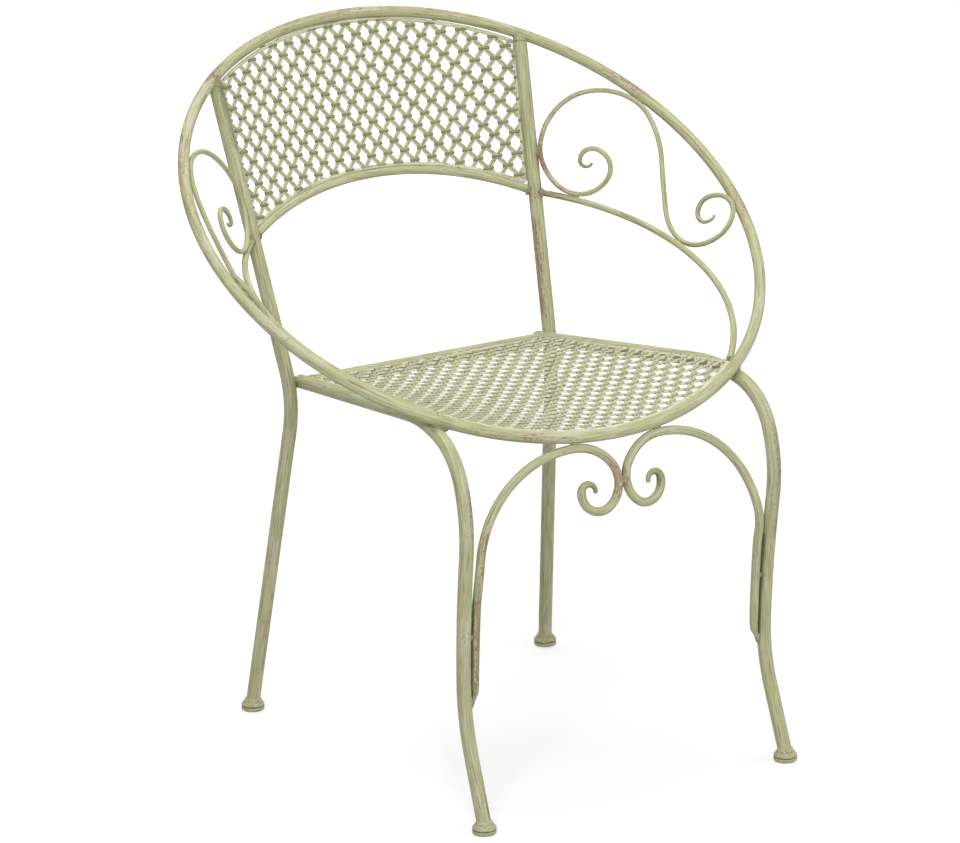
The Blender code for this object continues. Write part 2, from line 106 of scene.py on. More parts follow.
@dataclass(frozen=True)
class Line:
    """Centreline of a rod.

    Args:
        points: the points it follows.
        closed: whether it runs back to its first point.
        across: a direction that its rings are turned to, where it is closed.
    """

    points: tuple[Vector, ...]
    closed: bool = False
    across: Vector | None = None

    def on(self, side: Side) -> "Line":
        """This line of the right side, or its mirror image."""
        return Line(tuple(side.place(point) for point in self.points), self.closed, self.across)

    def distances(self) -> list[float]:
        """Distance travelled along the line at each point."""
        travelled = [0.0]
        for a, b in zip(self.points, self.points[1:]):
            travelled.append(travelled[-1] + (b - a).length)
        return travelled

    def frames(self) -> list[Matrix]:
        """Placing matrix of a ring at each point, with Z along the line."""
        last = len(self.points) - 1
        found, turned = [], self.across
        for i, point in enumerate(self.points):
            before = self.points[i - 1] if i or self.closed else point
            after = self.points[i + 1 if i < last else (0 if self.closed else last)]
            along = (after - before).normalized()
            if turned is None:
                turned = along.orthogonal()
            facing = turned if self.across is None else self.across
            turned = (facing - along * facing.dot(along)).normalized()
            columns = Matrix((turned, along.cross(turned), along)).transposed()
            found.append(Matrix.Translation(point) @ columns.to_4x4())
        return found

    def at_height(self, height: float) -> Vector:
        """Where the line passes a height, or its point nearest to it."""
        for low, high in zip(self.points, self.points[1:]):
            if min(low.z, high.z) <= height <= max(low.z, high.z):
                return low.lerp(high, (height - low.z) / (high.z - low.z))
        return min(self.points, key=lambda point: abs(point.z - height))

    def from_height(self, height: float) -> "Line":
        """The part of a leg's line above a height, starting exactly there."""
        foot = self.at_height(height)
        above = [point for point in self.points if point.z > height + MM]
        upwards = self.points[0].z < self.points[-1].z
        return Line((foot, *above) if upwards else (*above, foot))


def arc_steps(turn: float, radius: float) -> int:
    """Number of steps that makes a bend look round."""
    return max(2, math.ceil(abs(turn) / BEND_STEP), math.ceil(abs(turn) * radius / LONG_STEP))


def straight(first: Vector, last: Vector) -> list[Vector]:
    """Points of a straight stretch at short steps, without its last point."""
    count = max(1, math.ceil((last - first).length / LONG_STEP))
    return [first.lerp(last, i / count) for i in range(count)]


def arc(centre: Vector, start: Vector, axis: Vector, turn: float, radius: float) -> list[Vector]:
    """Points of an arc, ends included, whose start is given from its centre."""
    count = arc_steps(turn, radius)
    return [centre + Matrix.Rotation(turn * i / count, 3, axis) @ start for i in range(count + 1)]


def round_corner(before: Vector, corner: Vector, after: Vector, radius: float) -> list[Vector]:
    """Rounds one corner of a line.

    Args:
        before: a point on the way in.
        corner: the corner.
        after: a point on the way out.
        radius: radius of the arc.

    Returns:
        The arc's points, ends included.
    """
    to_before, to_after = (before - corner).normalized(), (after - corner).normalized()
    turn = math.pi - to_before.angle(to_after)
    centre = corner + (to_before + to_after).normalized() * (radius / math.cos(turn / 2))
    start = corner + to_before * radius * math.tan(turn / 2) - centre
    axis = (corner - before).cross(after - corner).normalized()
    return arc(centre, start, axis, turn, radius)


def arc_through(first: Vector, middle: Vector, last: Vector) -> list[Vector]:
    """Draws the circular arc through three points.

    Args:
        first: where it starts.
        middle: a point on the way.
        last: where it ends.

    Returns:
        The arc's points, ends included.
    """
    to_middle, to_last = middle - first, last - first
    axis = to_middle.cross(to_last)
    offset = (axis.cross(to_middle) * to_last.length_squared
              + to_last.cross(axis) * to_middle.length_squared)
    centre = first + offset / (2 * axis.length_squared)
    start, end = first - centre, last - centre
    axis.normalize()
    turn = math.atan2(start.cross(end).dot(axis), start.dot(end)) % math.tau
    return arc(centre, start, axis, turn, start.length)


def bent_line(start: tuple[float, float], heading: float,
              bends: Sequence[tuple[float, float]]) -> list[tuple[float, float]]:
    """Draws a flat line of joined arcs.

    Args:
        start: its first point.
        heading: its first direction in radians.
        bends: each arc's radius in mm and turn in degrees, positive to the left.

    Returns:
        The line's points.
    """
    x, y = start
    points = [(x, y)]
    for radius_mm, turn_degrees in bends:
        turn = math.radians(turn_degrees)
        count = arc_steps(turn, radius_mm * MM)
        step = turn / count
        chord = 2 * radius_mm * MM * math.sin(abs(step) / 2)
        for _ in range(count):
            x += chord * math.cos(heading + step / 2)
            y += chord * math.sin(heading + step / 2)
            heading += step
            points.append((x, y))
    return points


def closest(a: Line, b: Line, near: Vector) -> tuple[Vector, Vector, Vector]:
    """Finds where two rods touch.

    Args:
        a: the first centreline.
        b: the second centreline.
        near: a point near the touch.

    Returns:
        The point of each line, and the direction of the first line there.
    """
    of_a, of_b = ([p for p in line.points if (p - near).length < TOUCH_REACH] for line in (a, b))
    first, second = min(((p, q) for p in of_a for q in of_b), key=lambda pair: (pair[0] - pair[1]).length)
    i = a.points.index(first)
    along = a.points[min(i + 1, len(a.points) - 1)] - a.points[max(i - 1, 0)]
    return first, second, along.normalized()


# Marks that the paint reads

@dataclass(frozen=True)
class Spot:
    """A place where the paint is marked: rubbed through, soiled, and in joints and hollows painted darker for
    shade.

    Args:
        place: its middle.
        reach: how far it spreads.
        rub: how much brown shows, 0 to 1.
        grime_and_shade: how dark it is, 0 to 1, as soiling and as painted shade.
    """

    place: Vector
    reach: float
    rub: float = 0.0
    grime_and_shade: float = 0.0


class Marks:
    """Vertex attributes that the paint reads: the unrolled place on the rod, the rub, and a darkening that is
    partly soiling and partly painted shade.
    """

    def __init__(self, shape: Mesh) -> None:
        """Adds the three layers to a mesh."""
        self.unrolled = shape.verts.layers.float_vector.new("unrolled")
        self.rub, self.grime_and_shade = (shape.verts.layers.float.new(name) for name in ("rub", "grime_and_shade"))

    def set(self, vert: Vert, unrolled: Vector, rub: float, grime_and_shade: float) -> None:
        """Writes one vertex's marks."""
        vert[self.unrolled], vert[self.rub], vert[self.grime_and_shade] = unrolled, rub, grime_and_shade


def marks_at(point: Vector, spots: Sequence[Spot]) -> tuple[float, float]:
    """Rub and darkening (soiling and painted shade) that all spots together give a point."""
    rub = grime_and_shade = 0.0
    for spot in spots:
        share = math.exp(-(point - spot.place).length_squared / spot.reach ** 2)
        rub += spot.rub * share
        grime_and_shade += spot.grime_and_shade * share
    return min(rub, 1.0), min(grime_and_shade, 1.0)


# Meshes

@dataclass(frozen=True)
class Rod:
    """Section and ends of a rod or tube.

    Args:
        radius: its radius.
        sides: how many faces go round it.
        ends: how its two ends stop.
        thin: the share of the radius left at each end.
        flat: the share of its thickness across the line's own direction.
    """

    radius: float
    sides: int
    ends: tuple[RodEnd, RodEnd] = (RodEnd.SUNK, RodEnd.SUNK)
    thin: tuple[float, float] = (1.0, 1.0)
    flat: float = 1.0


def sweep(line: Line, rod: Rod, spots: Sequence[Spot], offset: float = 0.0) -> Mesh:
    """Draws a rod along a line.

    Args:
        line: its centreline.
        rod: its section and ends.
        spots: where its paint is marked.
        offset: shifts its paint pattern along, so that no two rods are alike.

    Returns:
        The new mesh.
    """
    shape = bmesh.new()
    marks = Marks(shape)
    distances = line.distances()
    rings = []
    for place, distance in zip(line.frames(), distances):
        share = 1.0
        for thin, away in zip(rod.thin, (distance, distances[-1] - distance)):
            share *= thin + (1 - thin) * min(1.0, away / TAPER)
        rings.append((place, share, distance))
    for end, sign, (place, width, distance) in zip(rod.ends, (-1, 1), (rings[0], rings[-1])):
        for out, share in end.value:
            out *= sign * rod.radius
            ring = (place @ Matrix.Translation((0, 0, out * width)), width * share, distance + out)
            rings.insert(0 if sign < 0 else len(rings), ring)

    before = None
    first_ring = edges = []
    for place, share, distance in rings:
        radius = rod.radius * share
        scaled = place @ Matrix.Diagonal((radius * rod.flat, radius, 1, 1))
        if before is None:
            verts = bmesh.ops.create_circle(shape, cap_ends=not line.closed, segments=rod.sides,
                                            radius=1, matrix=scaled)["verts"]
            first_ring = edges = list(dict.fromkeys(edge for vert in verts for edge in vert.link_edges))
        else:
            made = bmesh.ops.extrude_edge_only(shape, edges=edges)["geom"]
            verts = [item for item in made if isinstance(item, Vert)]
            fresh = set(verts)
            edges = [item for item in made
                     if isinstance(item, bmesh.types.BMEdge) and fresh.issuperset(item.verts)]
            bmesh.ops.transform(shape, matrix=scaled @ before, verts=verts)
        before = scaled.inverted()
        back = place.inverted()
        middle = place.translation
        near = [spot for spot in spots if (spot.place - middle).length < 3 * spot.reach + rod.radius]
        for vert in verts:
            local = back @ vert.co
            # painted shade: the rod darkens towards its underside
            under = max(0.0, (middle.z - vert.co.z) / radius) ** 2
            rub, grime_and_shade = marks_at(vert.co, near)
            unrolled = Vector((distance + offset, local.x, local.y))
            marks.set(vert, unrolled, rub, min(1.0, grime_and_shade + UNDERSIDE_SHADE * under))
    if line.closed:
        bmesh.ops.bridge_loops(shape, edges=first_ring + edges)
    else:
        bmesh.ops.contextual_create(shape, geom=edges)
    return shape


@dataclass(frozen=True)
class Coat:
    """A finish, the slot it comes from, and the places where it is marked."""

    paint: bpy.types.Material
    slot: Slot
    spots: Sequence[Spot] = ()

    def piece(self, shape: Mesh, name: str, stands_for: Sequence[str] = (), sharp_over: float = 40.0) -> None:
        """Closes a mesh and puts it into the scene as a piece of the chair.

        Args:
            shape: the mesh, which is freed.
            name: the piece's name.
            stands_for: the CAD nodes that it replaces.
            sharp_over: edges that turn more than this many degrees stay sharp.
        """
        bmesh.ops.recalc_face_normals(shape, faces=shape.faces)
        mesh = bpy.data.meshes.new(name)
        shape.to_mesh(mesh)
        shape.free()
        mesh.shade_smooth()
        mesh.set_sharp_from_angle(angle=math.radians(sharp_over))
        mesh.materials.append(self.paint)
        piece = bpy.data.objects.new(name, mesh)
        bpy.context.scene.collection.objects.link(piece)
        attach(piece, BODY)
        if stands_for:
            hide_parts(*stands_for)
        log.info("%s: %d faces", name, len(mesh.polygons))

    def rod(self, line: Line, rod: Rod, offset: float, name: str, stands_for: Sequence[str] = ()) -> None:
        """Makes a piece of one rod along a line."""
        self.piece(sweep(line, rod, self.spots, offset), name, stands_for)


# Finishes

def linear(code: str) -> tuple[float, float, float, float]:
    """Linear colour of an sRGB hex code."""
    parts = [int(code[i:i + 2], 16) / 255 for i in (1, 3, 5)]
    return (*(part / 12.92 if part <= 0.04045 else ((part + 0.055) / 1.055) ** 2.4 for part in parts), 1.0)


def add_node(tree: bpy.types.NodeTree, kind: str, inputs: dict | None = None,
             **settings: object) -> bpy.types.Node:
    """Adds one node with its settings and links.

    Args:
        tree: the node tree.
        kind: the node's type.
        inputs: a value, or a socket to link, for each input by name or number.
        settings: the node's own properties.

    Returns:
        The new node.
    """
    node = tree.nodes.new(kind)
    for name, value in settings.items():
        setattr(node, name, value)
    for socket, value in (inputs or {}).items():
        if isinstance(value, bpy.types.NodeSocket):
            tree.links.new(value, node.inputs[socket])
        else:
            node.inputs[socket].default_value = value
    return node


@dataclass(frozen=True)
class BrushedPaint:
    """Oil paint brushed thinly over a brown coat on steel, then rubbed back with abrasive wool.

    The eye sees soft lengthwise brush marks of two greens, brown showing in streaks and flecks
    where the rubbing went through, and dark olive in the hollows and on the undersides, partly soiling and
    partly painted shade.

    Args:
        name: the material's name.
        green: the paint's main colour.
        pale: the colour of the thick brush ridges.
        deep: the colour between the ridges.
        brown: the coat below.
        rose: the same coat where it was rubbed pale.
        olive: the colour of soiling and of painted shade in the hollows and on the undersides.
        streak: length and width of a brush mark in mm.
        wear: how much of the brown shows everywhere.
        dirt: how strongly the hollows and undersides darken, as soiling and as painted shade.
    """

    name: str
    green: str = "#AFB387"
    pale: str = "#CFD1BB"
    deep: str = "#8D8F5C"
    brown: str = "#7B5B47"
    rose: str = "#AF8E7B"
    olive: str = "#4C5228"
    streak: tuple[float, float] = (38.0, 1.7)
    wear: float = 0.0
    dirt: float = 0.75

    def material(self) -> bpy.types.Material:
        """The finish as a material."""
        made = bpy.data.materials.new(self.name)
        made.use_nodes = True
        tree = made.node_tree
        shader = tree.nodes["Principled BSDF"]
        unrolled, rub, grime_and_shade = (add_node(tree, "ShaderNodeAttribute", attribute_name=name).outputs[kind]
                                for name, kind in (("unrolled", "Vector"), ("rub", "Fac"), ("grime_and_shade", "Fac")))
        green, pale, deep, brown, rose, olive = (
            linear(code) for code in (self.green, self.pale, self.deep, self.brown, self.rose, self.olive))

        def grain(length: float, width: float, detail: float, shift: float) -> Socket:
            """Noise with grains of so many mm along the rod and round it."""
            sizes = (1 / (length * MM), 1 / (width * MM), 1 / (width * MM))
            scaled = add_node(tree, "ShaderNodeVectorMath", {0: unrolled, 1: sizes, 2: (shift, shift, shift)},
                              operation="MULTIPLY_ADD").outputs[0]
            return add_node(tree, "ShaderNodeTexNoise",
                            {"Vector": scaled, "Scale": 1.0, "Detail": detail, "Roughness": 0.6}).outputs[0]

        def ramp(value: Socket, low: float, high: float, top: float = 1.0) -> Socket:
            """A smooth step from 0 at low to top at high."""
            return add_node(tree, "ShaderNodeMapRange", {0: value, 1: low, 2: high, 4: top},
                            interpolation_type="SMOOTHSTEP").outputs[0]

        def mix(share: Socket, first: object, second: object) -> Socket:
            """One colour over another by a share."""
            return add_node(tree, "ShaderNodeMix", {0: share, 6: first, 7: second},
                            data_type="RGBA").outputs[2]

        def add(first: object, second: object, factor: float = 1.0) -> Socket:
            """First plus second times a factor."""
            return add_node(tree, "ShaderNodeMath", {0: second, 1: factor, 2: first},
                            operation="MULTIPLY_ADD").outputs[0]

        marks = grain(*self.streak, 3.0, 0.0)
        clouds = grain(70.0, 22.0, 2.0, 5.1)
        flecks = grain(4.5, 1.7, 4.0, 11.7)
        threads = grain(18.0, 0.9, 3.0, 23.9)
        scratches = grain(95.0, 1.7, 2.0, 31.3)
        lines = grain(45.0, 1.1, 3.0, 47.1)
        wear = add(add(add(threads, flecks, 0.8), clouds, 0.55), rub, 0.30)
        worn = ramp(wear, 1.36 - self.wear, 1.44 - self.wear, 0.85)

        colour = green
        for share, over in (
                (ramp(marks, 0.50, 0.68, 0.55), pale),
                (ramp(marks, 0.49, 0.34, 0.45), deep),
                (ramp(clouds, 0.50, 0.66, 0.35), pale),
                (ramp(scratches, 0.45, 0.33, 0.45), deep),
                (ramp(scratches, 0.58, 0.68, 0.36), rose),
                (worn, mix(ramp(threads, 0.46, 0.68), brown, rose)),
                (ramp(wear, 1.24 - self.wear, 1.50 - self.wear, 0.20), rose),
                (ramp(lines, 0.58, 0.65, 0.80), brown),
                # painted shade and soiling: olive where the darkening mark is high
                (ramp(add(grime_and_shade, flecks, 0.5), 0.36, 1.05, self.dirt), olive),
                (ramp(flecks, 0.37, 0.29, 0.60), brown)):
            colour = mix(share, colour, over)
        rough = add(add(ramp(marks, 0.3, 0.7, 0.16), worn, 0.18), 0.46)
        height = add(add(marks, threads, 0.5), worn, -0.5)
        bump = add_node(tree, "ShaderNodeBump", {"Strength": 0.35, "Distance": 0.5 * MM, "Height": height})
        for socket, value in (("Base Color", colour), ("Roughness", rough), ("Normal", bump.outputs[0])):
            tree.links.new(value, shader.inputs[socket])
        for socket, number in (("Metallic", 0.0), ("IOR", 1.45), ("Specular IOR Level", 0.35)):
            shader.inputs[socket].default_value = number
        return made


# Frame of the chair

@dataclass
class Hoop:
    """The big ring: back, arms and front of the seat in one."""

    radius: float = 0.3373
    tilt: float = math.radians(33.3)
    centre_y: float = 0.0203
    centre_z: float = 0.5965
    tube: float = 0.0065
    steps: int = 280
    sides: int = 24

    def point(self, angle: float) -> Vector:
        """Centreline point at an angle from the front, round by the right."""
        reach = self.radius * math.cos(angle)
        return Vector((self.radius * math.sin(angle), self.centre_y - reach * math.cos(self.tilt),
                       self.centre_z - reach * math.sin(self.tilt)))

    def line(self) -> Line:
        """The ring's centreline; its last step is short, so that the paint's seam doesn't show."""
        angles = [math.tau * i / self.steps for i in range(self.steps)]
        angles.append(math.tau - 0.5 * MM / self.radius)
        across = Vector((0, -math.sin(self.tilt), math.cos(self.tilt)))
        return Line(tuple(self.point(angle) for angle in angles), True, across)

    def build(self, coat: Coat) -> None:
        """Makes the ring."""
        coat.rod(self.line(), Rod(self.tube, self.sides), 0.0, "hoop_tube", ["hoop"])


@dataclass
class Legs:
    """The four legs, with the side rails that run on into the front ones, and the rear rail."""

    hoop: Hoop
    tube: float = 0.008
    gap: float = 0.0003
    back_foot: Vector = at(0.2038, 0.2036, 0)
    back_bend: Vector = at(0.1751, 0.1362, 0.383)
    back_radius: float = 0.15
    below_floor: float = 0.05
    post_angle: float = math.radians(142.4)
    rail_rear_z: float = 0.4029
    rail_overhang: float = 0.001
    rail_rise: float = math.radians(6.6)
    rail_splay: float = math.radians(6.0)
    rail_length: float = 0.2871
    front_bends: tuple[tuple[float, float, float], ...] = (
        (187, 24.5, -1.0), (72, 53.3, -3.8), (162, 27.4, -2.2), (1358, -6.1, 0.0), (206, -22.6, 2.0))
    ankle: float = 0.105
    knee_y: float = -0.2
    rear_rail_y: float = 0.129
    rear_rail_z: float = 0.4045
    rear_rail_sunk: float = 0.003
    pad_top: float = 0.010
    tube_bottom: float = 0.009
    sides: int = 24

    def back_line(self) -> Line:
        """Right back leg from just below the floor to the hoop."""
        top = self.hoop.point(self.post_angle)
        bend = round_corner(self.back_foot, self.back_bend, top, self.back_radius)
        below = self.back_foot + (self.back_foot - self.back_bend) * self.below_floor
        return Line(tuple(straight(below, bend[0]) + bend[:-1] + straight(bend[-1], top) + [top]))

    def front_line(self) -> Line:
        """Right side rail and front leg, from the back leg forwards, over the knee and down."""
        leg = self.back_line().at_height(self.rail_rear_z)
        rear = Vector((leg.x - 2 * self.tube - self.gap, leg.y + self.rail_overhang, self.rail_rear_z))
        pitch, splay = self.rail_rise, self.rail_splay

        def heading() -> Vector:
            """The way on."""
            level = Vector((0, -math.cos(pitch), math.sin(pitch))) * math.cos(splay)
            return level + Vector((math.sin(splay), 0, 0))

        end = rear + heading() * self.rail_length
        points = straight(rear, end) + [end]
        for radius_mm, down_degrees, out_degrees in self.front_bends:
            down, out = math.radians(down_degrees), math.radians(out_degrees)
            count = arc_steps(down, radius_mm * MM)
            chord = 2 * radius_mm * MM * math.sin(abs(down) / count / 2)
            for half_step in range(2 * count):
                if half_step % 2:
                    points.append(points[-1] + heading() * chord)
                pitch -= down / count / 2
                splay += out / count / 2
        end = points[-1] + heading() * self.ankle
        return Line(tuple(points[:-1] + straight(points[-1], end) + [end]))

    def front_leg_only(self) -> Line:
        """The front leg from its knee down."""
        return Line(tuple(point for point in self.front_line().points if point.y < self.knee_y))

    def rail_x(self, y: float) -> float:
        """Distance of the right side rail from the middle at a depth."""
        rear = self.front_line().points[0]
        return rear.x + (rear.y - y) * math.tan(self.rail_splay) / math.cos(self.rail_rise)

    def rear_line(self) -> Line:
        """The rear rail between the side rails."""
        x = self.rail_x(self.rear_rail_y) - self.rear_rail_sunk
        ends = [Vector((side.value * x, self.rear_rail_y, self.rear_rail_z)) for side in Side]
        return Line(tuple(straight(ends[0], ends[1]) + [ends[1]]))

    def build(self, coat: Coat) -> None:
        """Makes the legs and the rear rail."""
        tube = Rod(self.tube, self.sides)
        rail = Rod(self.tube, self.sides, (RodEnd.CUT, RodEnd.SUNK))
        for side in Side:
            for name, line, rod, offset in (("back_leg", self.back_line(), tube, 1.7),
                                            ("front_leg", self.front_line(), rail, 4.3)):
                coat.rod(line.on(side).from_height(self.tube_bottom), rod, offset * side.value,
                         f"{name}_{side.label}_tube", [f"{name}_{side.label}"])
        coat.rod(self.rear_line(), tube, 7.7, "rear_seat_rail_tube", ["rear_seat_rail"])


@dataclass
class FootPads:
    """Turned pads under the legs, with a fine groove round the middle and a collar round the tube.

    The profile is the radius and height of each point in mm, from the floor's middle to the neck's.
    """

    legs: Legs
    profile: tuple[tuple[float, float], ...] = (
        (0.0, 0.0), (10.2, 0.0), (12.0, 0.4), (13.1, 1.3), (13.4, 2.6), (13.4, 4.2), (13.0, 4.8),
        (12.4, 5.1), (12.4, 5.6), (13.0, 5.9), (13.4, 6.4), (13.4, 7.8), (12.8, 8.7), (11.6, 9.9),
        (10.5, 11.3), (9.6, 12.9), (8.9, 14.4), (8.3, 15.2), (7.2, 15.5), (0.0, 15.5))
    groove: tuple[float, float] = (5.35, 0.5)
    neck: tuple[float, float] = (12.0, 1.4)
    rub: float = 0.12
    steps: int = 40

    def build(self, coat: Coat) -> None:
        """Makes the four pads."""
        for side in Side:
            for name, line in (("back", self.legs.back_line()), ("front", self.legs.front_line())):
                foot = line.on(side).at_height(self.legs.pad_top)
                foot.z = 0
                shape = bmesh.new()
                marks = Marks(shape)
                verts = [shape.verts.new((x * MM, 0, z * MM)) for x, z in self.profile]
                edges = [shape.edges.new(pair) for pair in zip(verts, verts[1:])]
                bmesh.ops.spin(shape, geom=verts + edges, cent=(0, 0, 0), axis=(0, 0, 1), angle=math.tau,
                               steps=self.steps, use_merge=True)
                bmesh.ops.remove_doubles(shape, verts=shape.verts, dist=1e-6)
                for vert in shape.verts:
                    # painted shade in the groove and round the neck where the pad meets the tube
                    groove, neck = (math.exp(-((vert.co.z / MM - middle) / width) ** 2)
                                    for middle, width in (self.groove, self.neck))
                    marks.set(vert, vert.co + foot, self.rub, min(1.0, 1.3 * groove + 0.45 * neck))
                bmesh.ops.translate(shape, verts=shape.verts, vec=foot)
                coat.piece(shape, f"{name}_foot_{side.label}_turned", [f"{name}_foot_pad_{side.label}"], 55)


@dataclass
class BackRods:
    """The lower back arc, and the arm rods that run from it forwards to the hoop."""

    legs: Legs
    arc_tube: float = 0.005
    arm_rod: float = 0.0037
    joint_z: float = 0.565
    arc_middle: Vector = at(0, 0.2385, 0.605)
    arm_middle: Vector = at(0.2744, -0.001, 0.5192)
    arm_end: Vector = at(0.1932, -0.2005, 0.4495)
    sides: int = 18

    @cached_property
    def joint(self) -> Vector:
        """Where the arc and the right arm rod meet the post."""
        return self.legs.back_line().at_height(self.joint_z)

    def arc_line(self) -> Line:
        """The lower arc from post to post."""
        return Line(tuple(arc_through(Side.LEFT.place(self.joint), self.arc_middle, self.joint)))

    def arm_line(self) -> Line:
        """The right arm rod from the post to the hoop."""
        return Line(tuple(arc_through(self.joint, self.arm_middle, self.arm_end)))

    def build(self, coat: Coat) -> None:
        """Makes the arc and both arm rods."""
        arc_rod, arm_rod = Rod(self.arc_tube, self.sides), Rod(self.arm_rod, self.sides)
        coat.rod(self.arc_line(), arc_rod, 9.1, "lower_back_arc_rod", ["lower_back_arc"])
        for side in Side:
            name = f"arm_rod_{side.label}"
            coat.rod(self.arm_line().on(side), arm_rod, 12.9 * side.value, f"{name}_bar", [name])


@dataclass
class FrontScrolls:
    """The arches under the front of the seat, each with a tail beside its leg and a curl."""

    legs: Legs
    rod: float = 0.005
    tail_bottom: float = 0.138
    tail_length: float = 0.1316
    tail_gap: float = 0.0008
    tail_slant: float = 0.014
    tail_cut: float = 0.75
    bends: tuple[tuple[float, float], ...] = (
        (137.5, 27.5), (128.3, 63.3), (54.4, 53.0), (32.9, 90.1), (21.2, 133.3), (8.8, 178.0))
    plane_y: float = -0.3311
    side_slope: float = 0.0781
    rise_slope: float = 0.1636
    leaves_leg_z: float = 0.25
    blend: float = 0.06
    nub_z: float = 0.262
    thin: tuple[float, float] = (0.9, 0.5)
    sides: int = 20

    def line(self) -> Line:
        """The right scroll from its tail to the tip of its curl."""
        leg = self.legs.front_leg_only()
        x = leg.at_height(self.tail_bottom).x - self.legs.tube - self.rod - self.tail_gap
        count = math.ceil(self.tail_length / LONG_STEP)
        flat = [(x, self.tail_bottom + self.tail_length * i / count) for i in range(count)]
        flat += bent_line((x, self.tail_bottom + self.tail_length), math.radians(90), self.bends)
        points = []
        for x, z in flat:
            share = min(1.0, max(0.0, (z - self.leaves_leg_z) / self.blend))
            share = share * share * (3 - 2 * share)
            plane_y = self.plane_y + self.side_slope * x + self.rise_slope * z
            points.append(Vector((x, leg.at_height(z).y * (1 - share) + plane_y * share, z)))
        return Line(tuple(points))

    def build(self, coat: Coat) -> None:
        """Makes both scrolls, with the tail's end cut slanting towards its leg."""
        rod = Rod(self.rod, self.sides, (RodEnd.ROUND, RodEnd.SAWN), self.thin)
        beside = self.line().points[0].x + self.rod
        for side in Side:
            shape = sweep(self.line().on(side), rod, coat.spots, 15.3 * side.value)
            for vert in shape.verts:
                down = min(1.0, (self.tail_bottom + self.tail_slant - vert.co.z) / self.tail_slant)
                if down > 0:
                    inwards = (side.value * vert.co.x - beside) * (1 - self.tail_cut * down ** 2)
                    vert.co.x = side.value * (beside + inwards)
            name = f"front_scroll_{side.label}"
            coat.piece(shape, f"{name}_bar", [name])


@dataclass
class SideScrolls:
    """The S scrolls between the arm rods and the hoop, each rolled round a leaning cone."""

    hoop: Hoop
    rod: float = 0.003
    start: tuple[float, float] = (0.8160, -0.0019)
    heading: float = math.radians(-61.1)
    bends: tuple[tuple[float, float], ...] = (
        (7.6, 151.9), (15.3, 112.8), (25.9, 102.0), (40.4, 96.8), (54.0, 60.6), (97.7, 37.7),
        (58.9, 98.6), (193.8, 17.4), (292.2, -11.7), (62.0, -106.9), (24.9, -96.4), (36.9, -70.7),
        (15.6, -201.1), (4.0, -60.0))
    base_z: float = 0.6
    centre_y: float = -0.0924
    lean: float = -0.3975
    cone: float = 0.3466
    flare: float = 0.6895
    shear: float = 0.34
    slope: float = 1.13
    thin: tuple[float, float] = (0.55, 0.55)
    sides: int = 18

    def on_cone(self, u: float, v: float) -> Vector:
        """A point of the flat scroll on the cone: u runs round it, v up it."""
        rise = v / self.slope
        angle = (u + self.shear * rise) / self.cone
        radius = self.cone + self.flare * rise
        y = self.centre_y + self.lean * rise - radius * math.cos(angle)
        return Vector((radius * math.sin(angle), y, self.base_z + rise))

    def line(self) -> Line:
        """The right scroll from the big curl's tip to the small one's."""
        return Line(tuple(self.on_cone(u, v) for u, v in bent_line(self.start, self.heading, self.bends)))

    def build(self, coat: Coat) -> None:
        """Makes both scrolls."""
        rod = Rod(self.rod, self.sides, (RodEnd.SAWN, RodEnd.SAWN), self.thin)
        for side in Side:
            name = f"side_scroll_{side.label}"
            coat.rod(self.line().on(side), rod, 18.1 * side.value, f"{name}_bar", [name])


# Lattice panels

@dataclass
class Surface:
    """A curved sheet, kept as a table of points over flat coordinates.

    Args:
        point: gives the sheet's point for flat x and y.
        low: the table's lowest flat x and y.
        high: the table's highest flat x and y.
        cells: how many cells it has each way.
    """

    point: Callable[[float, float], Vector]
    low: tuple[float, float]
    high: tuple[float, float]
    cells: tuple[int, int] = (64, 32)

    def __post_init__(self) -> None:
        """Fills the table."""
        self.step = [(self.high[k] - self.low[k]) / self.cells[k] for k in (0, 1)]
        self.table = [[self.point(self.low[0] + i * self.step[0], self.low[1] + j * self.step[1])
                       for j in range(self.cells[1] + 1)] for i in range(self.cells[0] + 1)]

    def lift(self, flat: Vector) -> Vector:
        """The place on the sheet for flat x and y, raised by the flat z off its front face."""
        a, b = ((flat[k] - self.low[k]) / self.step[k] for k in (0, 1))
        i, j = (min(self.cells[k] - 1, max(0, int(share))) for k, share in ((0, a), (1, b)))
        near, far = self.table[i], self.table[i + 1]
        low, high = (near[k].lerp(far[k], a - i) for k in (j, j + 1))
        face = (far[j] - near[j]).cross(high - low).normalized()
        return low.lerp(high, b - j) + face * flat.z


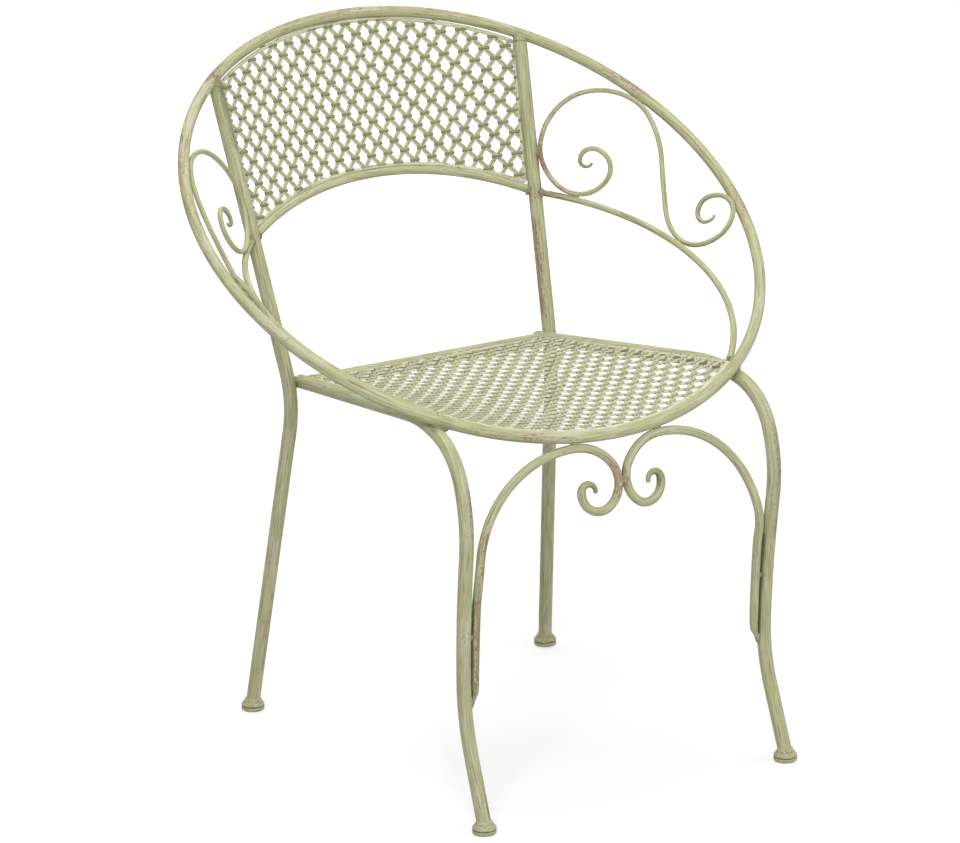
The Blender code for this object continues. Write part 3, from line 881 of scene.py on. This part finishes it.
@dataclass(frozen=True)
class Lattice:
    """Steel sheet pressed into pinched knots in staggered rows, with a grooved strand between knots.

    A strand's section is given in shares of its half width and of its height, and its stations in
    shares of its length with their width. A knot's stations are shares of its half length, half width
    and height. The heights and the knot's lift off the sheet are in mm.

    Args:
        pitch: distance between the knots of a row.
        row: distance between rows.
        strand: width of a strand in mm.
        knot: length and width of a knot in mm.
        shade_and_soil: strength of the painted shade in grooves, under strands and on knot ends and sides,
            and of the knots' soiling.
    """

    pitch: float
    row: float
    strand: float
    knot: tuple[float, float]
    shade_and_soil: float = 1.0
    section: tuple[tuple[float, float], ...] = (
        (-1.0, -0.3), (-0.92, 0.6), (-0.62, 1.1), (-0.3, 0.75), (0.0, -0.05), (0.3, 0.75),
        (0.62, 1.1), (0.92, 0.6), (1.0, -0.3), (0.5, -0.9), (-0.5, -0.9))
    strand_stations: tuple[tuple[float, float], ...] = ((0.0, 1.0), (0.3, 1.6), (0.7, 1.6), (0.99, 1.0))
    strand_scale: float = 0.62
    groove_width: float = 0.33
    knot_stations: tuple[tuple[float, float, float], ...] = (
        (-1.0, 0.62, 0.60), (-0.88, 1.0, 1.0), (-0.6, 0.95, 1.1), (0.0, 0.66, 1.0),
        (0.6, 0.95, 1.1), (0.88, 1.0, 1.0), (1.0, 0.62, 0.60))
    knot_sides: int = 8
    knot_height: float = 1.45
    knot_lift: float = 0.9

    def bar(self, shape: Mesh, marks: Marks, section: Sequence[Vector], places: Sequence[Matrix],
            dirt: Callable[[Vector, int], float]) -> None:
        """Draws a closed bar through some places.

        Args:
            shape: the mesh it goes into.
            marks: that mesh's paint marks.
            section: the points of its section round the origin.
            places: the matrix of each ring.
            dirt: gives the darkening, painted shade and soiling, at a point of the section in a ring of some
                number.
        """
        verts = bmesh.ops.create_circle(shape, cap_ends=True, segments=len(section), radius=1)["verts"]
        for vert, point in zip(verts, section):
            vert.co = point
        face = verts[0].link_faces[0]
        back = Matrix()
        for i, place in enumerate(places):
            if i:
                made = bmesh.ops.extrude_face_region(shape, geom=[face])["geom"]
                if i > 1 and face.is_valid:
                    bmesh.ops.delete(shape, geom=[face], context="FACES_ONLY")
                face = next(item for item in made if isinstance(item, bmesh.types.BMFace))
                verts = list(face.verts)
            bmesh.ops.transform(shape, matrix=place @ back, verts=verts)
            back = place.inverted()
            for vert in verts:
                marks.set(vert, Vector(), 0.0, self.shade_and_soil * dirt(back @ vert.co, i))

    def add_strand(self, shape: Mesh, marks: Marks, lean: int) -> None:
        """Makes a strand from a knot at the origin to the next row's, leaning right (1) or left (-1).

        Args:
            shape: the mesh it goes into.
            marks: that mesh's paint marks.
            lean: which way it leans.
        """
        end = Vector((lean * self.pitch / 2, self.row, 0))
        along = end.normalized()
        across = Vector((along.y, -along.x, 0))
        wide, high = self.strand / 2 * self.strand_scale * MM, self.strand_scale * MM

        def dirt(local: Vector, _: int) -> float:
            """Painted shade in the groove and on the underside."""
            groove = math.exp(-(local.dot(across) / wide / self.groove_width) ** 2)
            return max(0.05, 0.6 * groove, 0.5 if local.z / high < -0.1 else 0.0)

        self.bar(shape, marks, [across * (u * wide) + Vector((0, 0, w * high)) for u, w in self.section],
                 [Matrix.Translation(end * share) @ Matrix.Diagonal((width, width, width, 1))
                  for share, width in self.strand_stations], dirt)

    def add_knot(self, shape: Mesh, marks: Marks) -> None:
        """Makes a knot at the origin.

        Args:
            shape: the mesh it goes into.
            marks: that mesh's paint marks.
        """
        half_length, half_width = self.knot[0] / 2 * MM, self.knot[1] / 2 * MM
        angles = [math.tau * (i + 0.5) / self.knot_sides for i in range(self.knot_sides)]

        def dirt(local: Vector, i: int) -> float:
            """Soiling over the whole knot, with painted shade on the ends and down the sides."""
            return 0.60 + 0.10 * self.knot_stations[i][0] ** 2 + 0.15 * local.y ** 4

        self.bar(shape, marks, [Vector((0, math.cos(angle), math.sin(angle))) for angle in angles],
                 [Matrix.Translation((x * half_length, 0, self.knot_lift * MM))
                  @ Matrix.Diagonal((1, half_width * width, self.knot_height * height * MM, 1))
                  for x, width, height in self.knot_stations], dirt)

    def lay(self, columns: int, rows: Sequence[tuple[float, float]], bend: float) -> Mesh:
        """Lays a flat field of knots and strands.

        Args:
            columns: how many knots a row has on each side of its first one.
            rows: the flat place of each row's first knot, before the rows are bent.
            bend: how far the rows curve, in metres per square metre off the middle.

        Returns:
            The new mesh, with the flat place of each vertex as its mark.
        """
        shape = bmesh.new()
        marks = Marks(shape)
        self.add_knot(shape, marks)
        self.add_strand(shape, marks, 1)
        self.add_strand(shape, marks, -1)
        across = [(self.pitch * k, 0) for k in range(-columns, columns + 1) if k]
        for places in (across, rows):
            mold = [*shape.verts, *shape.edges, *shape.faces]
            for x, y in places:
                copy = bmesh.ops.duplicate(shape, geom=mold)["geom"]
                moved = [item for item in copy if isinstance(item, Vert)]
                bmesh.ops.translate(shape, verts=moved, vec=(x, y, 0))
        bmesh.ops.delete(shape, geom=[item for item in mold if isinstance(item, Vert)], context="VERTS")
        for vert in shape.verts:
            vert.co.y += bend * vert.co.x ** 2
            vert[marks.unrolled] = vert.co
        return shape


def trim(shape: Mesh, place: Vector, outwards: Vector) -> None:
    """Cuts a flat lattice along an upright plane and closes the cut strands.

    Args:
        shape: the lattice.
        place: a point of the plane.
        outwards: the side that goes.
    """
    geometry = shape.verts[:] + shape.edges[:] + shape.faces[:]
    bmesh.ops.bisect_plane(shape, geom=geometry, dist=1e-7, plane_co=place, plane_no=outwards,
                           clear_outer=True)
    bmesh.ops.holes_fill(shape, edges=[edge for edge in shape.edges if edge.is_boundary], sides=0)


@dataclass
class BackPanel:
    """The back's lattice sheet and its flat rim, between the posts, the arc and the hoop.

    The knot and row steps, the first row and the shifts are shares of the half width and the height.
    """

    hoop: Hoop
    legs: Legs
    rods: BackRods
    to_hoop: float = 0.0089
    droop: float = 0.0028
    to_arc: float = 0.0073
    to_post: float = 0.0110
    spread: float = 0.0096
    flare: float = 0.0160
    rim: Rod = Rod(0.0024, 12, flat=0.62)
    rim_steps: tuple[int, int] = (60, 20)
    half_width: float = 0.187
    height: float = 0.172
    trimmed: float = 0.0005
    past_post: float = 1.03
    corner: tuple[float, float, float, float] = (0.016, 0.0046, 0.0062, 0.021)
    knot_step: float = 0.1213
    row_step: float = 0.0755
    first_row: float = 0.605
    row_bend: float = 0.279
    shifts: tuple[float, float] = (0.065, 0.005)
    strand: float = 5.7
    knot: tuple[float, float] = (12.6, 4.1)

    def surface(self, s: float, t: float) -> Vector:
        """Point of the sheet: s runs -1 to 1 between the posts, t 0 to 1 from the arc to the hoop."""
        middle, joint = self.rods.arc_middle, self.rods.joint
        chord = middle - Vector((0, joint.y, joint.z))
        radius = (joint.x ** 2 + chord.length_squared) / (2 * chord.length)
        x = s * (joint.x - self.to_post)
        low = middle - chord.normalized() * (radius - math.sqrt(radius ** 2 - x ** 2)) + Vector((x, 0, 0))
        reach = (self.hoop.point(self.legs.post_angle).x - self.to_post) / self.hoop.radius
        along = self.hoop.point(math.pi - math.asin(s * reach)) - low
        first = self.to_arc / along.length
        last = 1 - (self.to_hoop + self.droop * s * s) / along.length
        return low + along * (first + (last - first) * t)

    def rim_line(self) -> Line:
        """Closed line of the rim with small rounded corners."""
        far_s, near_s, near_t, far_t = self.corner
        long, short = self.rim_steps
        low = [(-1 + far_s + (2 - 2 * far_s) * i / long, 0) for i in range(long + 1)]
        up = [(1.0, far_t + (1 - 2 * far_t) * i / short) for i in range(short + 1)]
        right = [(s + self.spread + self.flare * t, t)
                 for s, t in [(1 - near_s, near_t), *up, (1 - near_s, 1 - near_t)]]
        high = [(-s, 1) for s, _ in low]
        left = [(-s, t) for s, t in reversed(right)]
        round_it = low + right + high + left
        return Line(tuple(self.surface(s, t) for s, t in round_it), True, Vector((0, -0.98, 0.2)))

    def build(self, coat: Coat) -> None:
        """Makes the lattice and the rim."""
        wide, high = self.half_width, self.height
        lattice = Lattice(self.knot_step * wide, self.row_step * high, self.strand, self.knot)
        rows = [(self.shifts[n % 2] * wide, (self.first_row + self.row_step * n) * high)
                for n in range(-13, 6)]
        shape = lattice.lay(9, rows, self.row_bend * high / wide ** 2)
        for side in Side:
            outwards = Vector((side.value * high, -self.flare * wide, 0)).normalized()
            trim(shape, Vector((side.value * wide * (1 + self.spread), 0, 0)), outwards)
        trim(shape, Vector((0, self.trimmed, 0)), Vector((0, -1, 0)))
        trim(shape, Vector((0, high - self.trimmed, 0)), Vector((0, 1, 0)))
        most = self.past_post
        sheet = Surface(lambda x, y: self.surface(max(-most, min(most, x / wide)), y / high),
                        (-0.19, -0.004), (0.19, 0.176))
        for vert in shape.verts:
            vert.co = sheet.lift(vert.co)
        coat.piece(shape, "back_panel_lattice", ["back_panel"], 50)
        coat.rod(self.rim_line(), self.rim, 21.7, "back_panel_rim_strip", ["back_panel_rim"])


@dataclass
class SeatPanel:
    """The seat's lattice sheet with its flat edge strip, between the rails and the hoop."""

    hoop: Hoop
    legs: Legs
    inset: float = 0.0075
    rise: float = 0.0050
    clear: float = 0.0015
    hoop_angle: float = math.radians(34.5)
    flank: float = math.radians(45)
    strip: Rod = Rod(0.0026, 12, flat=0.45)
    strip_steps: tuple[int, int] = (60, 30)
    strip_in: tuple[float, float, float] = (0.0155, 0.0070, 1.0005)
    lattice: Lattice = Lattice(0.0235, 0.0128, 7.3, (13.6, 6.3), 0.66)
    first_knot: float = 0.0084
    first_row: float = 0.0031
    skew: float = 0.065

    @cached_property
    def rear_x(self) -> float:
        """Half the sheet's width at the rear rail."""
        return self.legs.rail_x(self.legs.rear_rail_y) - self.inset

    def surface(self, s: float, t: float) -> Vector:
        """Point of the sheet: s runs -1 to 1 across, t 0 to 1 from the rear rail to the hoop."""
        legs, angle = self.legs, s * self.hoop_angle
        rear = Vector((s * self.rear_x, legs.rear_rail_y - self.inset, legs.rear_rail_z + self.rise))
        inwards = Vector((-math.sin(angle), math.cos(angle), 0)) * math.cos(self.flank)
        away = inwards + Vector((0, 0, math.sin(self.flank)))
        return rear.lerp(self.hoop.point(angle) + away * (self.hoop.tube + self.clear), t)

    def over(self, x: float, y: float) -> Vector:
        """Point of the sheet over a plan position, found by a few steps of correction."""
        s, t, nudge = x / 0.17, (0.1215 - y) / 0.37, 0.01
        for _ in range(8):
            found = self.surface(s, t)
            wide = (self.surface(s + nudge, t) - found) / nudge
            deep = (self.surface(s, t + nudge) - found) / nudge
            area = wide.x * deep.y - wide.y * deep.x
            off_x, off_y = x - found.x, y - found.y
            s += (off_x * deep.y - off_y * deep.x) / area
            t += (wide.x * off_y - wide.y * off_x) / area
        return self.surface(s, t)

    def strip_line(self) -> Line:
        """Closed line of the edge strip."""
        in_s, in_t, front_t = self.strip_in
        wide, deep = self.strip_steps
        rear = [(-1 + in_s + (2 - 2 * in_s) * i / wide, in_t) for i in range(1, wide)]
        right = [(1 - in_s, in_t + (front_t - in_t) * i / deep) for i in range(deep + 1)]
        front = [(-s, front_t) for s, _ in rear]
        left = [(-s, t) for s, t in reversed(right)]
        round_it = rear + right + front + left
        return Line(tuple(self.surface(s, t) for s, t in round_it), True, Vector((0, -0.1, 1)))

    def build(self, coat: Coat) -> None:
        """Makes the lattice and its edge strip."""
        pitch, row = self.lattice.pitch, self.lattice.row
        rows = [(self.first_knot + pitch / 2 * (n % 2), self.first_row + row * n) for n in range(-23, 12)]
        shape = self.lattice.lay(8, rows, 0.0)
        for vert in shape.verts:
            vert.co.y += self.skew * vert.co.x
        front = [self.surface(s / 8, 0.995) for s in range(-8, 9)]
        corners = [self.surface(-0.99, 0.006), *front, self.surface(0.99, 0.006)]
        for a, b in zip(corners, corners[1:] + corners[:1]):
            trim(shape, Vector((a.x, a.y, 0)), Vector((b.y - a.y, a.x - b.x, 0)).normalized())
        sheet = Surface(self.over, (-0.20, -0.29), (0.20, 0.14), (64, 64))
        for vert in shape.verts:
            vert.co = sheet.lift(vert.co)
        coat.piece(shape, "seat_panel_lattice", ["seat_panel"], 50)
        coat.rod(self.strip_line(), self.strip, 24.1, "seat_panel_edge_strip")


# Welds

@dataclass
class Welds:
    """Lumpy beads where the rods and tubes are joined. All bead sizes are halves, in mm."""

    hoop: Hoop
    legs: Legs
    rods: BackRods
    fronts: FrontScrolls
    sides: SideScrolls
    back: BackPanel
    lumps: float = 0.16
    lump_scale: float = 1.9
    seed_step: float = 1.3
    collar_length: float = 2.8
    sharp_over: float = 70

    def bead(self, shape: Mesh, marks: Marks, place: Vector, along: Vector, sizes: tuple[float, float, float],
             seed: float) -> None:
        """Adds one lumpy bead.

        Args:
            shape: the mesh it goes into.
            marks: that mesh's paint marks.
            place: its middle.
            along: the direction of its length.
            sizes: half its length, width and height.
            seed: shifts its lumps, so that no two beads are alike.
        """
        placed = Matrix.Translation(place) @ along.to_track_quat("X", "Z").to_matrix().to_4x4()
        for vert in bmesh.ops.create_icosphere(shape, subdivisions=3, radius=1)["verts"]:
            lump = 1 + self.lumps * noise.noise(vert.co * self.lump_scale + Vector((seed, 2 * seed, 0)))
            vert.co = placed @ Vector(size * MM * part * lump for size, part in zip(sizes, vert.co))
            marks.set(vert, vert.co.copy(), 0.25, 0.50)

    def touches(self, side: Side) -> list[tuple[tuple, tuple, Vector, tuple[float, float, float]]]:
        """The joints of one side: two lines with their radii, a place near, and the bead's sizes."""
        legs, rods, fronts = self.legs, self.rods, self.fronts
        ring = (self.hoop.line(), self.hoop.tube)
        back, front, arm, scroll, arch = ((line.on(side), radius) for line, radius in (
            (legs.back_line(), legs.tube), (legs.front_line(), legs.tube), (rods.arm_line(), rods.arm_rod),
            (self.sides.line(), self.sides.rod), (fronts.line(), fronts.rod)))
        curve = fronts.line()
        return [(a, b, side.place(Vector(near)), sizes) for a, b, near, sizes in (
            (arch, ring, max(curve.points, key=lambda point: point.z), (5.2, 3.6, 3.6)),
            (arch, front, curve.points[0], (7.0, 3.0, 3.0)),
            (arch, front, curve.at_height(fronts.nub_z), (3.4, 2.6, 3.0)),
            (scroll, back, (0.197, 0.19, 0.64), (6.0, 2.8, 3.0)),
            (scroll, arm, (0.24, 0.12, 0.55), (5.0, 2.6, 2.6)),
            (scroll, arm, (0.27, -0.02, 0.53), (5.0, 2.6, 2.6)),
            (scroll, ring, (0.30, 0.12, 0.67), (6.0, 3.0, 3.0)),
            (scroll, ring, (0.33, -0.05, 0.56), (6.0, 3.0, 3.0)),
            (arm, ring, rods.arm_end, (9.0, 3.4, 3.4)),
            (ring, front, (0.19, -0.21, 0.443), (10.0, 4.2, 4.2)))]

    def collars(self, side: Side) -> list[tuple[Vector, Vector, float]]:
        """Beads that go round a rod's end: the place, the rod's direction and the bead's radius."""
        legs, rods = self.legs, self.rods
        back = legs.back_line().on(side)
        arc_points, rail = (line.points if side is Side.LEFT else line.points[::-1]
                            for line in (rods.arc_line(), legs.rear_line()))
        found = []
        for points, radius in ((arc_points, rods.arc_tube), (rods.arm_line().on(side).points, rods.arm_rod)):
            along = (points[2] - points[0]).normalized()
            found.append((side.place(rods.joint) + along * (legs.tube + 0.4 * MM), along, radius * 1.42))
        down = (back.points[-4] - back.points[-1]).normalized()
        top = side.place(self.hoop.point(legs.post_angle)) + down * (self.hoop.tube + 2.2 * MM)
        along = (rail[2] - rail[0]).normalized()
        return [*found, (top, down, legs.tube * 1.10),
                (rail[0] + along * (legs.tube - 1.5 * MM), along, legs.tube * 1.02)]

    def build(self, coat: Coat) -> None:
        """Makes the beads of each side and of the middle."""
        upright, level = Vector((0, 0, 1)), Vector((1, 0, 0))
        for side in Side:
            shape = bmesh.new()
            marks = Marks(shape)
            seed = 3.7 * side.value
            for (a, radius_a), (b, radius_b), near, sizes in self.touches(side):
                first, second, along = closest(a, b, near)
                seed += self.seed_step
                place = first.lerp(second, radius_a / (radius_a + radius_b))
                self.bead(shape, marks, place, along, sizes, seed)
            for place, along, radius in self.collars(side):
                seed += self.seed_step
                self.bead(shape, marks, place, along, (self.collar_length, radius / MM, radius / MM), seed)
            rail = self.legs.front_line().on(side).points[0]
            leg = self.legs.back_line().on(side).at_height(rail.z)
            self.bead(shape, marks, rail.lerp(leg, 0.5), upright, (7.5, 4.6, 4.6), seed + 1)
            coat.piece(shape, f"welds_{side.label}", [f"front_scroll_nub_{side.label}"], self.sharp_over)
        shape = bmesh.new()
        marks = Marks(shape)
        upper = [point for point in self.fronts.line().points if point.z > 0.33]
        touch = min(upper, key=lambda point: abs(point.x))
        self.bead(shape, marks, Vector((0, touch.y, touch.z)), upright, (4.8, 3.0, 3.0), 9.0)
        for s, t in ((-0.05, 1), (0.59, 1), (-0.62, 1), (-0.545, 0), (0.006, 0), (0.59, 0)):
            up = (self.back.surface(s, 1) - self.back.surface(s, 0)).normalized()
            place = self.back.surface(s, t) + up * ((4.5 if t else -4.2) * MM)
            self.bead(shape, marks, place, level, (4.4, 2.0, 3.4), 12 * s + t)
        coat.piece(shape, "welds_middle", (), self.sharp_over)


# Studio

@dataclass
class Studio:
    """Camera, floor and soft lights.

    The floor glows a little more towards its far end, so that it shows white behind the chair. Each
    lamp is a name, a place, the side of its square and its watts.
    """

    place: Vector = at(-2.9937, -4.7368, 1.9898)
    right: Vector = at(0.8397867, -0.54271494, -0.0147915)
    up: Vector = at(0.16137165, 0.22350483, 0.96125167)
    back: Vector = at(-0.51837967, -0.8096333, 0.27527519)
    lens: float = 193.0
    shift: tuple[float, float] = (-0.03866, -0.02125)
    world_strength: float = 0.34
    floor_half: float = 20
    floor_grey: float = 0.55
    glow_reach: tuple[float, float] = (0.9, 3.0)
    glow: tuple[float, float] = (0.52, 0.86)
    lit: Vector = at(0, 0, 0.42)
    lamps: tuple = (("key_lamp", (-2.2, -2.8, 3.2), 1.8, 98), ("low_lamp", (0.8, -3.5, 0.9), 2.0, 26),
                    ("fill_lamp", (3.2, -1.8, 2.2), 2.4, 22), ("top_lamp", (0.2, 0.8, 3.6), 2.2, 62))

    def camera(self) -> None:
        """Puts the camera at the photograph's angle."""
        data = bpy.data.cameras.new("camera")
        data.lens = self.lens
        data.sensor_width = 36
        data.shift_x, data.shift_y = self.shift
        data.clip_end = 100
        made = bpy.data.objects.new("camera", data)
        columns = Matrix((self.right, self.up, self.back)).transposed()
        made.matrix_world = Matrix.Translation(self.place) @ columns.to_4x4()
        bpy.context.scene.collection.objects.link(made)
        bpy.context.scene.camera = made

    def seen(self, tree: bpy.types.NodeTree, plain: Socket, shown: Socket) -> Socket:
        """Gives the camera, gloss and glass their own shader, and all other light the plain one."""
        paths = add_node(tree, "ShaderNodeLightPath").outputs
        looks = paths["Is Camera Ray"]
        for kind in ("Is Glossy Ray", "Is Transmission Ray"):
            looks = add_node(tree, "ShaderNodeMath", {0: looks, 1: paths[kind]},
                             operation="MAXIMUM").outputs[0]
        return add_node(tree, "ShaderNodeMixShader", {0: looks, 1: plain, 2: shown}).outputs[0]

    def floor(self) -> None:
        """Lays a plain pale floor that keeps the chair's shadow and shows white."""
        shape = bmesh.new()
        bmesh.ops.create_grid(shape, x_segments=1, y_segments=1, size=self.floor_half)
        mesh = bpy.data.meshes.new("floor")
        shape.to_mesh(mesh)
        shape.free()
        floor = bpy.data.objects.new("floor", mesh)
        bpy.context.scene.collection.objects.link(floor)
        material = bpy.data.materials.new("matt_white_floor")
        material.use_nodes = True
        tree = material.node_tree
        tree.nodes.clear()
        matt = add_node(tree, "ShaderNodeBsdfDiffuse", {"Color": (*[self.floor_grey] * 3, 1)}).outputs[0]
        place = add_node(tree, "ShaderNodeNewGeometry").outputs["Position"]
        reach = add_node(tree, "ShaderNodeVectorMath", {0: place}, operation="LENGTH").outputs["Value"]
        (near, far), (low, high) = self.glow_reach, self.glow
        strength = add_node(tree, "ShaderNodeMapRange", {0: reach, 1: near, 2: far, 3: low, 4: high},
                            interpolation_type="SMOOTHSTEP").outputs[0]
        glow = add_node(tree, "ShaderNodeEmission", {"Color": (1, 1, 1, 1), "Strength": strength}).outputs[0]
        both = add_node(tree, "ShaderNodeAddShader", {0: matt, 1: glow}).outputs[0]
        add_node(tree, "ShaderNodeOutputMaterial", {"Surface": self.seen(tree, matt, both)})
        mesh.materials.append(material)

    def hang(self, name: str, place: Vector, size: float, energy: float) -> None:
        """Hangs one soft square lamp that faces the chair.

        Args:
            name: its name.
            place: where it hangs.
            size: its side.
            energy: its power in watts.
        """
        data = bpy.data.lights.new(name, "AREA")
        data.shape = "SQUARE"
        data.size = size
        data.energy = energy
        made = bpy.data.objects.new(name, data)
        facing = (self.lit - place).to_track_quat("-Z", "Y").to_matrix().to_4x4()
        made.matrix_world = Matrix.Translation(place) @ facing
        bpy.context.scene.collection.objects.link(made)

    def world(self) -> None:
        """Lights the room evenly and shows white where the camera looks past the floor."""
        world = bpy.data.worlds.new("studio")
        bpy.context.scene.world = world
        world.use_nodes = True
        tree = world.node_tree
        tree.nodes.clear()
        soft, white = (add_node(tree, "ShaderNodeBackground",
                                {"Color": (1, 1, 1, 1), "Strength": strength}).outputs[0]
                       for strength in (self.world_strength, 1.0))
        add_node(tree, "ShaderNodeOutputWorld", {"Surface": self.seen(tree, soft, white)})

    def build(self) -> None:
        """Sets up the whole studio."""
        bpy.context.scene.view_settings.view_transform = "Standard"
        self.camera()
        self.floor()
        self.world()
        for name, place, size, energy in self.lamps:
            self.hang(name, Vector(place), size, energy)


# Assembly

@dataclass
class Armchair:
    """The whole chair."""

    def __post_init__(self) -> None:
        """Makes the sub-assemblies, which share their lines."""
        self.hoop = Hoop()
        self.legs = Legs(self.hoop)
        self.rods = BackRods(self.legs)
        self.fronts = FrontScrolls(self.legs)
        self.sides = SideScrolls(self.hoop)
        self.back = BackPanel(self.hoop, self.legs, self.rods)
        self.seat = SeatPanel(self.hoop, self.legs)
        self.pads = FootPads(self.legs)
        self.welds = Welds(self.hoop, self.legs, self.rods, self.fronts, self.sides, self.back)

    def dirt(self, side: Side) -> list[Spot]:
        """Spots of one side: painted shade in the curls and between leg and tail, and at the joints painted
        shade, soiling and rubbing.
        """
        leg = self.legs.front_leg_only()
        curl, coil = self.fronts.line().points, self.sides.line().points
        beside = Vector((-0.0085, 0, 0))
        found = [
            # darkening at the joints, partly soiling and partly painted shade, with some rubbing
            (self.hoop.point(self.legs.post_angle), 12, 0.2, 0.5),
            (self.rods.joint, 13, 0.2, 0.45),
            (Vector((0.158, 0.133, 0.403)), 14, 0.2, 0.55),
            (Vector((0.19, -0.215, 0.446)), 12, 0.1, 0.35),
            # painted shade inside the curls
            (curl[-1].lerp(curl[-37], 0.5), 12, 0.2, 0.70),
            (coil[0].lerp(coil[31], 0.5), 11, 0.1, 0.60),
            (coil[-13].lerp(coil[-49], 0.5), 14, 0.1, 0.65),
            # painted shade in the narrow gap between the leg and the scroll's tail
            *((leg.at_height(z * MM) + beside, 4.5, 0.0, 0.95) for z in range(145, 262, 8)),
        ]
        return [Spot(side.place(place), reach * MM, rub, grime_and_shade) for place, reach, rub, grime_and_shade in found]

    def worn(self) -> list[Spot]:
        """Runs of worn spots, each moved to one side of its rod: the lean and reach are in mm."""
        back, front = self.legs.back_line(), self.legs.front_line()
        left_back, left_front = back.on(Side.LEFT), front.on(Side.LEFT)
        arch, scroll = self.fronts.line().on(Side.LEFT).points, self.sides.line().points

        def ring(first: int, last: int) -> list[Vector]:
            """Points of the hoop between two angles in degrees."""
            return [self.hoop.point(math.radians(angle)) for angle in range(first, last, 2)]

        def stretch(line: Line, first: int, last: int, step: int = 10) -> list[Vector]:
            """Points of a leg between two heights in mm."""
            return [line.at_height(z * MM) for z in range(first, last, step)]

        runs = (
            (ring(-30, -14), (0, -5, -1), 7, 0.38, 0.24),
            (stretch(front, 262, 392), (3, -7, 0), 7, 0.50, 0.34),
            (stretch(left_back, 60, 165), (2, -8, 0), 6, 0.62, 0),
            (stretch(left_back, 665, 740), (3, -7, 0), 6, 0.20, 0.55),
            (ring(150, 222), (0, -1, 6), 9, 0.50, 0),
            (ring(112, 142), (2, -1, 6), 9, 0.55, 0),
            (ring(76, 92), (3, -4, 4), 8, 0.50, 0),
            (ring(236, 262), (-6, -3, 1), 8, 0.40, 0),
            (stretch(back, 600, 740), (7, -3, 0), 8, 0.45, 0),
            (stretch(back, 425, 540), (-9, -2, 0), 8, 0.65, 0),
            (self.rods.arm_line().points[1:4], (0, 0, 0), 10, 1.2, 0),
            ([point for point in arch if point.z < 0.33 and point.x < -0.12], (3.5, -1.5, 0), 8, 0.85, 0),
            ([point for point in arch if point.x > -0.016], (4, 0, 0), 8, 0.4, 0),
            ([point for point in scroll if point.y > 0.18], (0, 0, 0), 8, 0.24, 0),
            (stretch(left_front, 20, 70, 8), (7, -3, 0), 9, 0.75, 0),
            (stretch(left_front, 330, 380, 8), (7, -3, 0), 9, 0.5, 0),
        )
        return [Spot(point + Vector(lean) * MM, reach * MM, rub, grime_and_shade)
                for points, lean, reach, rub, grime_and_shade in runs for point in points]

    def build(self) -> None:
        """Builds and paints every piece."""
        spots = self.dirt(Side.LEFT) + self.dirt(Side.RIGHT) + self.worn()
        tube = Coat(BrushedPaint("brushed_worn_oil_paint_on_steel_tube").material(), Slot.TUBE, spots)
        lattice = Coat(BrushedPaint(
            "brushed_worn_oil_paint_on_pressed_steel", green="#CECEB0", pale="#E3E2D0", deep="#A6A87E",
            olive="#5E6A2C", streak=(9.0, 1.6), wear=0.05, dirt=0.85).material(), Slot.LATTICE, spots)
        foot = Coat(BrushedPaint(
            "brushed_worn_oil_paint_on_turned_pads", streak=(6.0, 2.0), wear=0.02).material(), Slot.FOOT)
        for part in (self.hoop, self.legs, self.rods, self.fronts, self.sides):
            part.build(tube)
        for panel in (self.back, self.seat):
            panel.build(lattice)
        self.welds.build(tube)
        self.pads.build(foot)


def main() -> None:
    """Builds the chair and the studio."""
    logging.basicConfig(level=logging.INFO)
    Armchair().build()
    Studio().build()


if __name__ == "__main__":
    main()
